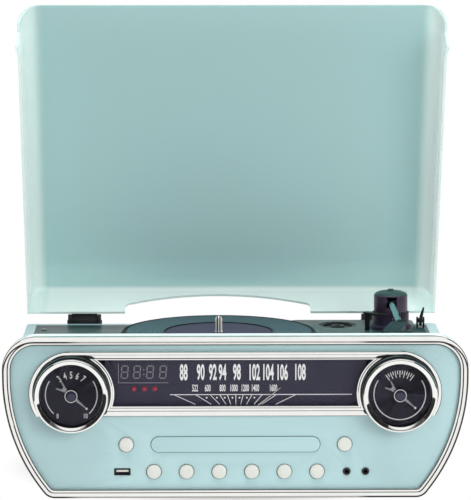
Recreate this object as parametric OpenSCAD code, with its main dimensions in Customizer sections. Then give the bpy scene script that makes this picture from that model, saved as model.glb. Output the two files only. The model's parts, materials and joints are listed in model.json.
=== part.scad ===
// Stereo music centre: a rounded cabinet with a radio dial and two big knobs
// on its front, a disc tray, a record player on its deck and a hinged lid.
// X runs left to right, the front faces -Y, and the feet stand on Z = 0.
// Depths such as case_d are counted back from the front of the trim ring.

/* [Cabinet] */
// Width of the front
front_w = 430; // [420:1:440]
// Height of the top of the front above the table
front_top = 158.5; // [156:0.5:159]
// Height of the rubber feet
foot_h = 7; // [6:0.5:10]
// Radius of the front's upper corners
corner_r = 31; // [26:1:34]
// Radius of the bulging sides
side_r = 174; // [170:1:190]
// Radius of the front's lower corners
base_corner_r = 13; // [11:1:16]
// Depth of the cabinet
case_d = 336; // [334:1:350]
// Wall of the cabinet
case_wall = 4; // [3:0.5:5]
// Depth of the hood behind the front
hood_d = 23; // [22:0.5:28]
// Thickness of the wall that closes the hood above the deck
hood_back_t = 3.5; // [2.5:0.5:4]
// How far the hood sits inside the trim ring's outline
hood_step = 0.8; // [0.4:0.1:1.5]
// How far the body behind the hood is stepped in on each side
body_step = 4; // [3:0.5:6]

/* [Front] */
// Width of the trim ring's outer band
ring_outer_w = 5; // [4:0.5:6]
// Width of the trim ring's inner band
ring_inner_w = 2.8; // [2:0.2:4]
// Step between the two bands
ring_step = 1.2; // [0.5:0.1:2]
// Depth at which the panel lies behind the ring's front
panel_y = 3.5; // [3:0.25:4]
// Thickness of the front panel
panel_t = 2.5; // [2:0.25:3]
// Height of the knobs' axes
dial_z = 105.6; // [104:0.2:107]
// Distance of each knob's axis from the side of the front
knob_in = 64; // [60:1:67]
// Outer radius of the bezel's rings round the knobs
bezel_r = 39.4; // [38:0.2:41]
// Height of the upper edge of the dial window
window_top = 136.7; // [134:0.5:138]
// Height of the lower edge of the dial window
window_bottom = 93.5; // [92:0.5:96]
// Width of the bezel's upper band
bezel_top_w = 7.7; // [6:0.1:8]
// Width of the bezel's lower band
bezel_low_w = 9.2; // [8:0.1:10]
// How far the bezel's front stands before the ring's front
bezel_out = 1; // [0.5:0.1:2]
// Height of the row with the disc tray
row1_z = 57; // [56:0.5:58]
// Height of the lower row
row2_z = 31.3; // [30:0.1:33]

/* [Knobs] */
// Outer radius of the knobs
knob_r = 34.5; // [33:0.1:35]
// Width of a knob's chrome ring
knob_ring_w = 5.3; // [4.5:0.1:6]
// How far the knobs stand before the ring's front
knob_out = 16; // [15:0.5:20]
// Radius of a knob's shaft
shaft_r = 3; // [2.5:0.1:3.2]
// Length of the pointer
pointer_len = 19; // [16:1:24]
// Angle of the pointer, clockwise from straight up
pointer_a = 131; // [0:1:359]

/* [Dial] */
// Length of the dial's needle
needle_len = 53; // [48:1:54]
// Angle of the needle, clockwise from straight up
needle_a = 51.5; // [-60:0.5:62]
// How far the needle's axis lies below the window
needle_drop = 17; // [16:0.5:18]
// Radius of the drum on the needle's shaft
needle_drum_r = 12; // [11:0.5:13]

/* [Buttons] */
// Radius of a push button
button_r = 6.65; // [6:0.05:7]
// Gap round a push button
button_gap = 0.6; // [0.4:0.1:0.9]
// Distance of the upper buttons from the middle
button_x1 = 101; // [98:0.5:104]
// Distance between buttons in the lower row
button_pitch = 30.2; // [28:0.1:31]
// Travel of a button
button_travel = 1.5; // [1:0.1:1.5]

/* [Disc player] */
// Width of the tray's door
door_w = 156; // [150:1:158]
// Height of the tray's door
door_h = 14.3; // [13.5:0.1:15]
// Gap round the door
door_gap = 0.3; // [0.2:0.05:0.5]
// Radius of the tray's well for a disc
disc_r = 61; // [60.5:0.25:62]
// Length of the tray
tray_len = 144.5; // [142:0.5:148]

/* [Sockets] */
// Radius of the bore of the two 3.5 mm jacks
jack_bore_r = 1.8; // [1.78:0.01:1.85]
// Distance of the first jack from the middle
jack_x1 = 103; // [101:0.5:106]
// Distance of the second jack from the middle
jack_x2 = 120.4; // [116:0.2:124]
// Distance of the serial bus socket from the middle
usb_x = 104.8; // [103:0.2:108]
// Height of the sockets in the back
rear_socket_z = 60; // [50:1:70]

/* [Deck] */
// Height of the deck's top
deck_z = 114; // [112:0.5:115]
// Thickness of the deck
deck_t = 3; // [2.5:0.5:3.5]
// Width of the cabinet's rim beside the deck
rim_w = 10; // [8:0.5:12]
// Depth of the cabinet's rim behind the deck
rim_back = 8; // [6:0.5:9]
// Height of the plateau that carries the arm
plateau_h = 5.5; // [5:0.5:6.5]
// Left edge of the plateau
plateau_x0 = 60; // [55:1:65]
// Distance of the plateau's right edge from the side of the front
plateau_in = 29; // [27:1:31]
// Front edge of the plateau
plateau_y0 = 60; // [50:1:66]

/* [Platter] */
// Place of the spindle across the deck
spindle_x = -14; // [-16:1:-12]
// Distance of the spindle from the cabinet's back
spindle_back = 124; // [122:1:126]
// Radius of the spindle's free end
spindle_r = 3.55; // [3.5:0.01:3.6]
// Radius of the spindle inside the platter
spindle_low_r = 4.2; // [4:0.1:4.5]
// Height of the spindle's tip
spindle_top = 143; // [140:0.5:146]
// Radius of the platter
platter_r = 97.5; // [94:0.5:98.5]
// Height of the platter's underside above the deck
platter_lift = 3.5; // [3:0.1:4]
// Thickness of the platter at its rim
platter_t = 7.7; // [7:0.1:8]
// Thickness of the mat
mat_t = 2.5; // [2:0.1:3]
// Radius of the ring under the platter that the belt drives
drive_ring_r = 66; // [62:1:68]
// Radius of the motor's pulley
pulley_r = 6; // [5:0.5:7]
// Distance of the motor from the spindle
motor_dist = 80; // [79:0.5:82]

/* [Tone arm] */
// Distance of the arm's upright axis from the side of the front
arm_in = 54; // [53:0.5:55]
// Distance of the arm's upright axis from the cabinet's back
arm_back = 56; // [54:1:60]
// Height of the arm's level axis
arm_z = 146; // [145.5:0.1:146.5]
// Radius of the turret
turret_r = 17; // [16:0.5:17.5]
// Height of the turret's top
turret_top = 154.7; // [154:0.1:155.5]
// Radius of the arm's tube
tube_r = 2.75; // [2.5:0.05:3]
// Distance from the arm's axis to the end of its tube
tube_len = 150; // [145:1:155]
// Length of the tube inside the head
neck_len = 13; // [10:1:16]
// Length of the head
head_len = 66; // [62:1:68]
// Sideways angle of the head
head_a = 12; // [8:0.5:16]
// Distance of the arm rest from the arm's axis
rest_at = 90; // [80:1:100]

/* [Adapter] */
// Distance of the single-record adapter from the side of the front
adapter_in = 107; // [105:0.5:108]
// Distance of the adapter from the cabinet's back
adapter_back = 42; // [40:0.5:43]
// Radius of the adapter
adapter_r = 18.9; // [18.5:0.1:19.05]

/* [Lid] */
// Height of the lid's top above the table when it is closed
lid_top = 162.5; // [162:0.5:166]
// Wall of the lid
lid_wall = 2.5; // [2:0.25:3]
// Gap between the lid's rim and the deck's height
lid_gap = 0.7; // [0.5:0.1:1.2]
// Distance of the lid's front edge behind the front
lid_front = 2; // [1:0.5:4]
// Distance of the lid's rear wall from the cabinet's back
lid_step = 2; // [2:0.5:4]
// Radius of the lid's front corners seen from above
lid_corner_r = 22; // [18:1:26]
// Radius of the lid's upper edges at its sides
lid_edge_r = 15; // [12:1:18]
// Radius of the lid's upper edge at its back
lid_back_r = 8; // [5:1:10]
// Angle by which the lid stands open
lid_open = 67; // [0:1:75]
// Half the width of the arch cut for a large record
arch_w = 96; // [92:1:98]
// Height of the arch at its ends
arch_low = 18; // [14:1:20]
// Height of the arch at its middle
arch_high = 33.7; // [30:0.1:36]
// How far the lid widens on each side where it covers the hood
lid_flare = 1.8; // [1:0.1:2.5]

/* [Hinges] */
// Distance of each hinge from the side of the front
hinge_in = 63; // [59:1:67]
// Width of a hinge
hinge_w = 34; // [32:1:36]
// Distance of the hinge's pin behind the lid's rear wall
hinge_back = 10; // [9:0.5:11]
// Radius of the hinge's pin
pin_r = 2; // [1.5:0.1:2.5]
// Thickness of the hinge's ears
ear_t = 3.5; // [3:0.25:4.5]

/* [Fits] */
// Radial clearance of a shaft that turns in its bore
run_fit = 0.05; // [0.03:0.01:0.08]
// Gap between pieces that move past each other
gap = 0.3; // [0.3:0.05:0.4]

/* [Hidden] */
$fn = 64;
FIXED_NODES = ["cabinet_shell", "bottom_cover", "feet", "case_screws", "front_panel", "trim_ring",
    "dial_bezel", "dial_window", "dial_scale", "display_module", "knob_dials", "volume_pot",
    "tuning_capacitor", "dial_cord", "deck_plate", "platter_bearing", "spindle", "drive_motor",
    "drive_belt", "tonearm_base", "arm_rest", "hinge_bases", "speakers", "circuit_boards",
    "power_supply", "cd_mechanism", "usb_socket", "headphone_jacks", "rca_jacks", "power_inlet",
    "ferrite_antenna"];
MOVING_NODES = ["lid", "hinge_arms", "platter", "slipmat", "motor_pulley", "tonearm_turret",
    "arm_tube", "headshell", "cartridge", "cue_lever", "cue_lift", "volume_knob", "volume_lens",
    "tuning_knob", "tuning_lens", "dial_needle", "cd_tray", "tray_door", "speed_switch",
    "autostop_switch", "adapter_45"];
BUTTON_COUNT = 8;
// a little more than nothing, so that a cut runs clear of a face
eps = 0.5;

// cabinet
half_w = front_w / 2;
side_z = front_top - corner_r - 7.5;
body_half_w = half_w - body_step;
deck_half_w = body_half_w - rim_w;
deck_y1 = case_d - rim_back;
ledge_w = 13;
ledge_t = 4;
deck_low = deck_z - deck_t;
ledge_low = deck_low - ledge_t;
floor_z = foot_h + case_wall;
back_y = case_d - case_wall;
case_rear_r = 12;
ring_d = panel_y + panel_t + 0.5;
panel_back = panel_y + panel_t;

// bottom cover
cover_half_w = half_w - 79;
cover_y0 = 36;
cover_y1 = case_d - 14;
cover_t = 3;
cover_lap = 10;
cover_z = foot_h - cover_t;
cover_screw_x = cover_half_w - cover_lap / 2;
cover_screw_y = [cover_y0 + 8, (cover_y0 + cover_y1) / 2, cover_y1 - 8];
foot_r = 9;
foot_x = half_w - 65;
foot_y = [45, case_d - 26];
screw_r = 1.5;
screw_head_r = 2.9;
screw_head_t = 2;
deck_screws = [[-deck_half_w + 9, deck_y1 - 29], [-deck_half_w + 9, hood_d + 22],
    [deck_half_w - 9, hood_d + 22]];

// speakers
speaker_y = 150;
speaker_z = 65;
speaker_r = 36;
speaker_mouth_r = 29;
speaker_x = half_w - 39;
slot_count = 8;
slot_pitch = 7;

// front
knob_x = half_w - knob_in;
bezel_top = window_top + bezel_top_w;
bezel_low = window_bottom - bezel_low_w;
knob_well_r = knob_r + 0.7;
lens_y = 1.5;
lens_t = 1.5;
needle_y = panel_back + 0.4;
needle_t = 0.6;
scale_y = panel_back + 2;
scale_t = 1.5;
scale_half_w = knob_x - 29;
needle_z = window_bottom - needle_drop;
scale_low = needle_z - 10.5;
display_x = knob_x - 67.5;
display_w = 45;
display_z = window_top - 13.4;
display_h = 16;
led_x = [display_x + 10.4, display_x + 0.6, display_x - 9];
led_z = window_bottom + 15;
led_r = 2.4;
cord_y = scale_y + scale_t + 1.5;
cord_w = 0.8;
cord_t = 0.6;

// knobs
knob_ring_r = knob_r - knob_ring_w;
dial_face_r = knob_ring_r - 0.5;
dial_face_y = -6;
dial_face_t = 1.5;
dial_boss_r = 9;
knob_lens_y = -knob_out + 4;
knob_lens_t = 1.5;
knob_hub_r = 6.5;
shaft_end = cord_y + 2.2;

// buttons
button_front = panel_y - 2.5;
button_flange_y = panel_back + gap;
button_flange_t = 1;
button_end = button_flange_y + button_flange_t + 4.7;
board_y = button_end + button_travel + 2.5;
board_t = 1.6;
button_places = concat([[-button_x1, row1_z], [button_x1, row1_z]],
    [for (i = [-2.5:2.5]) [i * button_pitch, row2_z]]);
board_low = row2_z - 11.3;
board_high = row2_z + 9.7;
board_half_w = jack_x2 + 7;

// disc player
door_y = panel_y - 1;
door_t = 3;
tray_y = door_y + door_t;
tray_half_w = disc_r + 3;
tray_z = row1_z - 5.5;
tray_t = 4.5;
disc_y = tray_y + tray_len / 2;
mech_wall = 5;
mech_inner = tray_half_w + 1.5;
mech_half_w = mech_inner + mech_wall;
mech_y0 = tray_y + 10;
mech_y1 = tray_y + tray_len + 34;
mech_low = tray_z - 8.5;
mech_top = tray_z + 16.5;
mech_t = 2.5;
rail_w = 7;

// sockets
usb_w = 13.8;
usb_h = 6.2;
usb_wall = 0.5;
jack_r = 3.5;
rca_x = [-62, -42];
rca_r = 4.15;
rca_pin_r = 1.7;
inlet_x = 60;
inlet_bore_r = 2.8;

// platter
spindle_y = case_d - spindle_back;
platter_low = deck_z + platter_lift;
platter_top = platter_low + platter_t;
platter_web = 4.2;
mat_top = platter_top + mat_t;
hub_low = deck_z + 1.3;
hub_bore_r = spindle_low_r + run_fit;
mat_bore_r = spindle_low_r + 0.4;
bearing_r = 7;
motor_x = spindle_x - motor_dist * cos(45);
motor_y = spindle_y + motor_dist * sin(45);
motor_r = 16;
motor_shaft_r = 1;
belt_t = 0.8;

// tone arm and adapter
arm_x = half_w - arm_in;
arm_y = case_d - arm_back;
neck_at = tube_len - neck_len;
adapter_x = half_w - adapter_in;
adapter_y = case_d - adapter_back;
plateau_z = deck_z + plateau_h;
plateau_x1 = half_w - plateau_in;
plateau_r = 104;
plateau_y1 = deck_y1 - 3;
base_r = turret_r + 1.5;
base_top = arm_z - 10;
post_r = 4;
post_top = base_top + 4.2;
slot_half_w = tube_r + 2.4;
arm_hub_r = 4.5;
pitch_pin_r = 1.5;
rest_z = arm_z - tube_r - gap;
head_w = 16;
stylus_at = 54;
record_t = 2;
tip_z = mat_top + record_t + gap;

// cue lever, whose cam is as heavy as its paddle, so that it stays where it's put
cue_x = half_w - 21.6;
cue_y = case_d - 29;
cue_axis_z = deck_z + 8;
cue_pin_r = 1.5;
cue_top = cue_axis_z + 13.5;
cue_cam_r = 7.2;
cue_cam_w = 3.8;
cue_ear_t = 1.5;
cue_r = 30;
cue_post_a = 215;
cue_post_r = 2.5;
cue_bar_z = arm_z - 10;
cue_bar_t = 2;

// switches on the plateau
speed_x = arm_x - 11;
stop_x = arm_x - 51;
switch_y = plateau_y0 + 20;
switch_slot = 20;

// lid
lid_back = case_d - lid_step;
hinge_x = half_w - hinge_in;
lid_rim_z = deck_z + lid_gap;
lid_half_w = body_half_w;
hood_clear = 0.8;
hood_rim_z = 145;
flare_y = hood_d + 2;
flare_len = 12;
flare_steps = 6;
arch_x = spindle_x;
arch_r = (pow(arch_w - 8, 2) + pow(arch_high - arch_low, 2)) / (2 * (arch_high - arch_low));
arch_a = asin((arch_w - 8) / arch_r);
hinge_y = lid_back + hinge_back;
hinge_z = lid_rim_z;
ear_r = 8;
knuckle_r = 5.5;
knuckle_half_w = hinge_w / 2 - ear_t - gap;
leaf_t = 3;
lid_corner_y = -hinge_back - lid_back_r;
lid_corner_z = lid_top - hinge_z - lid_back_r;
lid_rear = hinge_y + lid_corner_y * cos(lid_open) + lid_corner_z * sin(lid_open) + lid_back_r;

// the front of the trim ring, with the origin midway between the foremost and rearmost points
front_y = -(lid_rear - knob_out) / 2;

// outlines: an arc is a list of points from angle a0 to a1
function arc(cx, cz, r, a0, a1, n) =
    [for (i = [0:n]) let (a = a0 + (a1 - a0) * i / n) [cx + r * cos(a), cz + r * sin(a)]];
function flipped(p) = [for (i = [len(p) - 1:-1:0]) [-p[i][0], p[i][1]]];

// the front's outline, drawn in by i, with its sides moved in by s
function base_arc_dx(s) = sqrt(pow(side_r - base_corner_r - s, 2) - pow(side_z - foot_h - base_corner_r, 2));
function base_arc_a(s) = atan2(foot_h + base_corner_r - side_z, base_arc_dx(s));
function right_side(i, s) = let (cx = half_w - side_r, a = base_arc_a(s)) concat(
    arc(cx + base_arc_dx(s), foot_h + base_corner_r, base_corner_r - i, -90, a, 5),
    arc(cx, side_z, side_r - i - s, a + 0.01, 0, 10));
function outline(i) = let (half = concat(right_side(i, 0),
    arc(half_w - corner_r, front_top - corner_r, corner_r - i, 0, 90, 8)))
    concat(half, flipped(half));
// the body behind the hood ends level at the height z
function body_outline(i, z) = let (
    side = [for (p = right_side(i, body_step)) if (p[1] < z) p],
    top_x = half_w - side_r + sqrt(pow(side_r - i - body_step, 2) - pow(min(0, z - side_z), 2)),
    half = concat(side, [[top_x, z]]))
    concat(half, flipped(half));

// a loop of belt round two circles, r1 at c1 and r2 at c2
function loop_points(c1, r1, c2, r2, n) = let (
    d = norm(c2 - c1),
    toward = atan2(c2[1] - c1[1], c2[0] - c1[0]),
    open = acos((r1 - r2) / d))
    concat(arc(c1[0], c1[1], r1, toward + open, toward + 360 - open, n),
        arc(c2[0], c2[1], r2, toward - open, toward + open, round(n / 2)));

module place() translate([0, front_y, 0]) children();
module along_y(y0, y1) translate([0, y1, 0]) rotate([90, 0, 0]) linear_extrude(y1 - y0) children();
module along_z(z0, z1) translate([0, 0, z0]) linear_extrude(z1 - z0) children();
module along_x(x0, x1) translate([x0, 0, 0]) rotate([90, 0, 90]) linear_extrude(x1 - x0) children();
module rod_y(x, z, r, y0, y1) translate([x, y1, z]) rotate([90, 0, 0]) cylinder(r=r, h=y1 - y0);
module rod_z(x, y, r, z0, z1) translate([x, y, z0]) cylinder(r=r, h=z1 - z0);
module rod_x(y, z, r, x0, x1) translate([x0, y, z]) rotate([0, 90, 0]) cylinder(r=r, h=x1 - x0);
module box(x0, x1, y0, y1, z0, z1) translate([x0, y0, z0]) cube([x1 - x0, y1 - y0, z1 - z0]);
// a profile of radius and distance turned about an axis that runs forward
module turned_y(x, z) translate([x, 0, z]) rotate([90, 0, 0]) rotate_extrude($fn=128) children();
module rounded(x0, x1, y0, y1, r) {
    translate([x0 + r, y0]) square([x1 - x0 - 2 * r, y1 - y0]);
    translate([x0, y0 + r]) square([x1 - x0, y1 - y0 - 2 * r]);
    for (x = [x0 + r, x1 - r], y = [y0 + r, y1 - r]) translate([x, y]) circle(r=r, $fn=32);
}
module stadium(w, h) {
    square([w - h, h], center=true);
    for (s = [-1, 1]) translate([s * (w - h) / 2, 0]) circle(r=h / 2, $fn=48);
}
module both_sides() for (s = [0, 1]) mirror([s, 0, 0]) children();

// ---- cabinet ----
module body_solid(i, z, y0, y1) intersection() {
    along_y(y0, y1) polygon(body_outline(i, z));
    along_z(0, front_top) rounded(-half_w, half_w, y0 - 30, y1, case_rear_r - i);
}

module cabinet_shell() color([0.66, 0.83, 0.82]) place() difference() {
    union() {
        difference() {
            along_y(ring_d, hood_d) polygon(outline(hood_step));
            along_y(ring_d - eps, hood_d - hood_back_t) polygon(outline(hood_step + case_wall));
            along_y(hood_d - hood_back_t - eps, hood_d + eps) polygon(body_outline(case_wall, ledge_low));
        }
        difference() {
            body_solid(0, deck_z, hood_d - hood_back_t, case_d);
            body_solid(case_wall, ledge_low, 0, back_y);
        }
        intersection() {
            both_sides() rod_x(speaker_y, speaker_z, speaker_r + 2, speaker_x, half_w);
            body_solid(1, ledge_low, hood_d, case_d);
        }
    }
    box(-deck_half_w, deck_half_w, hood_d, deck_y1, deck_low, front_top);
    box(-deck_half_w + ledge_w, deck_half_w - ledge_w, hood_d + 5, deck_y1 - 5, ledge_low - eps, front_top);
    box(-cover_screw_x + 5, cover_screw_x - 5, cover_y0 + 14, cover_y1 - 14, 0, floor_z + 1);
    both_sides() rod_x(speaker_y, speaker_z, speaker_mouth_r, speaker_x - 1, speaker_x + 4);
    both_sides() for (i = [0:slot_count - 1])
        translate([speaker_x, speaker_y + (i - (slot_count - 1) / 2) * slot_pitch - 1.5, speaker_z - 20])
            cube([half_w - speaker_x, 3, 40]);
    for (x = rca_x) rod_y(x, rear_socket_z, 5, back_y - eps, case_d + eps);
    rod_y(inlet_x, rear_socket_z, 5.5, back_y - eps, case_d + eps);
    both_sides() for (y = cover_screw_y) rod_z(cover_screw_x, y, screw_r, 0, floor_z + 1);
    for (p = deck_screws) rod_z(p[0], p[1], screw_r, ledge_low - 1, deck_low + 1);
}

module bottom_cover() color("dimgray") place() difference() {
    box(-cover_half_w, cover_half_w, cover_y0, cover_y1, cover_z, foot_h);
    both_sides() for (y = cover_screw_y) {
        rod_z(cover_screw_x, y, screw_r + 0.2, cover_z - 1, foot_h + 1);
        rod_z(cover_screw_x, y, screw_head_r + gap, cover_z - 1, cover_z + screw_head_t);
    }
    for (i = [0:7]) box(-60 + i * 16, -54 + i * 16, cover_y1 - 100, cover_y1 - 60, 0, foot_h + 1);
}

module feet() color([0.12, 0.12, 0.13]) place() both_sides() for (y = foot_y)
    translate([foot_x, y, 0]) cylinder(r1=foot_r - 1, r2=foot_r, h=foot_h);

module case_screws() color("silver") place() {
    both_sides() for (y = cover_screw_y) {
        rod_z(cover_screw_x, y, screw_head_r, cover_z, cover_z + screw_head_t);
        rod_z(cover_screw_x, y, screw_r, cover_z + screw_head_t - 0.01, floor_z - 0.5);
    }
    for (p = deck_screws) {
        rod_z(p[0], p[1], screw_head_r, deck_z, deck_z + 0.8);
        rod_z(p[0], p[1], screw_r, ledge_low + 0.5, deck_z + 0.01);
    }
}

// ---- front ----
module trim_ring() color([0.9, 0.9, 0.88]) place() union() {
    difference() {
        along_y(0, ring_d) polygon(outline(0));
        along_y(-eps, ring_d + eps) polygon(outline(ring_outer_w));
    }
    difference() {
        along_y(ring_step, panel_y) polygon(outline(ring_outer_w - 0.5));
        along_y(0, ring_d) polygon(outline(ring_outer_w + ring_inner_w));
    }
}

// the dial window between the knobs' rings, grown by g on every side
module window_2d(g=0) difference() {
    translate([-knob_x, window_bottom - g]) square([2 * knob_x, window_top - window_bottom + 2 * g]);
    for (s = [-1, 1]) translate([s * knob_x, dial_z]) circle(r=bezel_r - g, $fn=96);
}

module bezel_2d() difference() {
    intersection() {
        union() {
            translate([-knob_x, bezel_low]) square([2 * knob_x, bezel_top - bezel_low]);
            for (s = [-1, 1]) translate([s * knob_x, dial_z]) circle(r=bezel_r, $fn=96);
        }
        translate([-half_w, bezel_low]) square([front_w, bezel_top - bezel_low]);
    }
    window_2d();
    for (s = [-1, 1]) translate([s * knob_x, dial_z]) circle(r=knob_well_r, $fn=96);
}

module front_panel() color([0.68, 0.82, 0.82]) place() difference() {
    along_y(panel_y, panel_back) polygon(outline(ring_outer_w));
    along_y(0, ring_d + 1) window_2d(1.5);
    for (s = [-1, 1]) rod_y(s * knob_x, dial_z, shaft_r + 1, 0, ring_d + 1);
    for (p = button_places) rod_y(p[0], p[1], button_r + button_gap, 0, ring_d + 1);
    along_y(0, ring_d + 1) translate([0, row1_z]) stadium(door_w + 2 * door_gap, door_h + 2 * door_gap);
    box(-usb_x - usb_w / 2 - 0.7, -usb_x + usb_w / 2 + 0.7, 0, ring_d + 1,
        row2_z - usb_h / 2 - gap, row2_z + usb_h / 2 + gap);
    for (x = [jack_x1, jack_x2]) rod_y(x, row2_z, jack_r, 0, ring_d + 1);
}

module dial_bezel() color([0.92, 0.92, 0.9]) place() difference() {
    along_y(-bezel_out, panel_y) bezel_2d();
    along_y(-bezel_out - eps, 0.4) window_2d(1.6);
}

module dial_window() color([0.3, 0.3, 0.35, 0.3]) place() along_y(lens_y, lens_y + lens_t) window_2d();

module dial_scale() color([0.1, 0.1, 0.12]) place() difference() {
    union() {
        box(-scale_half_w, scale_half_w, scale_y, scale_y + scale_t, window_bottom - 5, window_top + 4);
        box(-20, 20, scale_y, scale_y + scale_t, scale_low, window_bottom);
        for (x = [-scale_half_w + 3.5, scale_half_w - 3.5], z = [window_bottom - 2, window_top + 1])
            rod_y(x, z, 2.5, panel_back, scale_y + 0.01);
    }
    rod_y(0, needle_z, pitch_pin_r + run_fit, scale_y - 1, scale_y + scale_t + 1);
    box(-display_x - display_w / 2, -display_x + display_w / 2, scale_y - 1, scale_y + scale_t + 1,
        display_z - display_h / 2, display_z + display_h / 2);
    for (x = led_x) rod_y(-x, led_z, led_r, scale_y - 1, scale_y + scale_t + 1);
}

module display_module() color([0.2, 0.2, 0.22]) place() {
    box(-display_x - display_w / 2, -display_x + display_w / 2, scale_y - 0.3, scale_y + scale_t,
        display_z - display_h / 2, display_z + display_h / 2);
    box(-display_x - display_w / 2 - 4, -display_x + display_w / 2 + 4, scale_y + scale_t,
        scale_y + scale_t + 5, led_z - 4, display_z + display_h / 2 + 2);
    for (x = led_x) {
        rod_y(-x, led_z, led_r, scale_y, scale_y + scale_t);
        translate([-x, scale_y, led_z]) rotate([90, 0, 0]) cylinder(r1=led_r, r2=led_r - 1, h=0.8);
    }
}

module knob_dials() color([0.1, 0.1, 0.12]) place() for (s = [-1, 1]) difference() {
    turned_y(s * knob_x, dial_z) {
        translate([0, -dial_face_y - dial_face_t]) square([dial_face_r, dial_face_t]);
        translate([0, -panel_y]) square([dial_boss_r, panel_y - dial_face_y - dial_face_t + 0.01]);
    }
    rod_y(s * knob_x, dial_z, shaft_r + run_fit, dial_face_y - 1, panel_y + 1);
}

module volume_pot() color("gray") place() difference() {
    rod_y(-knob_x, dial_z, 8.5, panel_back, panel_back + 11);
    rod_y(-knob_x, dial_z, shaft_r + gap, panel_back - 1, shaft_end + gap);
}

module tuning_capacitor() color("lightgray") place() {
    difference() {
        box(knob_x - 11, knob_x + 11, shaft_end + gap, hood_d - hood_back_t - 0.2, dial_z - 11, dial_z + 11);
        rod_y(knob_x, dial_z, 2, shaft_end, shaft_end + 2);
    }
    for (s = [-1, 1]) rod_y(knob_x + 9, dial_z + s * 8, 1.5, panel_back, shaft_end + gap);
}

module dial_cord() color("khaki") place() along_y(cord_y, cord_y + cord_w) difference() {
    polygon(loop_points([0, needle_z], needle_drum_r + gap + cord_t, [knob_x, dial_z],
        shaft_r + gap + cord_t, 32));
    polygon(loop_points([0, needle_z], needle_drum_r + gap, [knob_x, dial_z], shaft_r + gap, 32));
}

module dial_needle() color([0.9, 0.9, 0.88]) place() {
    translate([0, 0, needle_z]) rotate([0, needle_a, 0]) {
        along_y(needle_y, needle_y + needle_t)
            polygon([[-0.9, -8], [0.9, -8], [0.7, 0], [0.35, needle_len], [-0.35, needle_len], [-0.7, 0]]);
        rod_y(0, 0, 3.5, needle_y, scale_y - gap);
        rod_y(0, 0, pitch_pin_r, needle_y, cord_y + cord_w + 0.4);
        rod_y(0, 0, needle_drum_r, cord_y - 0.4, cord_y + cord_w + 0.4);
    }
}

// a knob: chrome ring, and a hub with its pointer on the shaft, joined by the lens
module knob(x) place() {
    turned_y(x, dial_z) polygon([[knob_ring_r, -panel_y + 1], [knob_r, -panel_y + 1],
        [knob_r, knob_out - 3.5], [knob_r - 1.6, knob_out - 0.7], [knob_r - 2.8, knob_out],
        [knob_ring_r + 1.2, knob_out], [knob_ring_r, knob_out - 1.5]]);
    rod_y(x, dial_z, shaft_r, -9.5, shaft_end);
    turned_y(x, dial_z) polygon([[0, 9], [knob_hub_r, 9], [knob_hub_r, knob_out - 3], [knob_hub_r - 1.5, knob_out - 2],
        [0, knob_out - 2]]);
    translate([x, 0, dial_z]) rotate([0, pointer_a, 0]) along_y(-9.4, -8.6)
        polygon([[-1.8, 0], [-0.5, pointer_len], [0.5, pointer_len], [1.8, 0], [3, -14], [1, -12],
            [-1, -12], [-3, -14]]);
}

module knob_lens(x) place() turned_y(x, dial_z)
    translate([knob_hub_r, -knob_lens_y - knob_lens_t]) square([knob_ring_r - knob_hub_r, knob_lens_t]);

module volume_knob() color([0.9, 0.9, 0.88]) knob(-knob_x);
module tuning_knob() color([0.9, 0.9, 0.88]) knob(knob_x);
module volume_lens() color([0.9, 0.9, 0.95, 0.3]) knob_lens(-knob_x);
module tuning_lens() color([0.9, 0.9, 0.95, 0.3]) knob_lens(knob_x);

module button(i) color([0.95, 0.93, 0.88]) place() {
    x = button_places[i][0];
    z = button_places[i][1];
    turned_y(x, z) polygon([[0, -button_flange_y - 0.01], [button_r, -button_flange_y - 0.01],
        [button_r, -button_front - 0.8], [button_r - 0.8, -button_front], [0, -button_front]]);
    rod_y(x, z, button_r + 1.4, button_flange_y, button_flange_y + button_flange_t);
    rod_y(x, z, 2.2, button_flange_y + button_flange_t - 0.01, button_end);
}

// ---- disc player ----
module tray_door() color([0.68, 0.82, 0.82]) place() along_y(door_y, door_y + door_t)
    translate([0, row1_z]) stadium(door_w, door_h);

module cd_tray() color([0.15, 0.15, 0.16]) place() difference() {
    box(-tray_half_w, tray_half_w, tray_y, tray_y + tray_len, tray_z, tray_z + tray_t);
    rod_z(0, disc_y, disc_r, tray_z + 2, tray_z + tray_t + 1);
    rod_z(0, disc_y, 41, tray_z + 1.4, tray_z + tray_t + 1);
    rod_z(0, disc_y, 17, tray_z - 1, tray_z + tray_t + 1);
    box(-14, 14, disc_y, disc_y + disc_r - 8, tray_z - 1, tray_z + tray_t);
}

module cd_mechanism() color("darkgray") place() {
    box(-mech_half_w, mech_half_w, mech_y0, mech_y1, mech_low, mech_low + mech_t);
    box(-mech_half_w, mech_half_w, mech_y0, mech_y1, mech_top - mech_t, mech_top);
    both_sides() {
        box(mech_inner, mech_half_w, mech_y0, mech_y1, mech_low, mech_top);
        box(mech_inner - rail_w, mech_inner + 1, mech_y0, mech_y1, tray_z - 3, tray_z - gap);
        box(mech_inner - 3.5, mech_inner + 1, mech_y0, mech_y1, tray_z + tray_t + gap, tray_z + tray_t + 2);
        for (y = [mech_y0 + 40, mech_y1 - 12]) rod_z(mech_half_w - 6, y, 4, foot_h, mech_low + 0.01);
    }
    rod_z(0, disc_y, 13, mech_low + mech_t - 0.01, tray_z - 1);
    box(-11, 11, disc_y + 18, disc_y + 40, mech_low + mech_t - 0.01, tray_z - 1.5);
}

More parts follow.
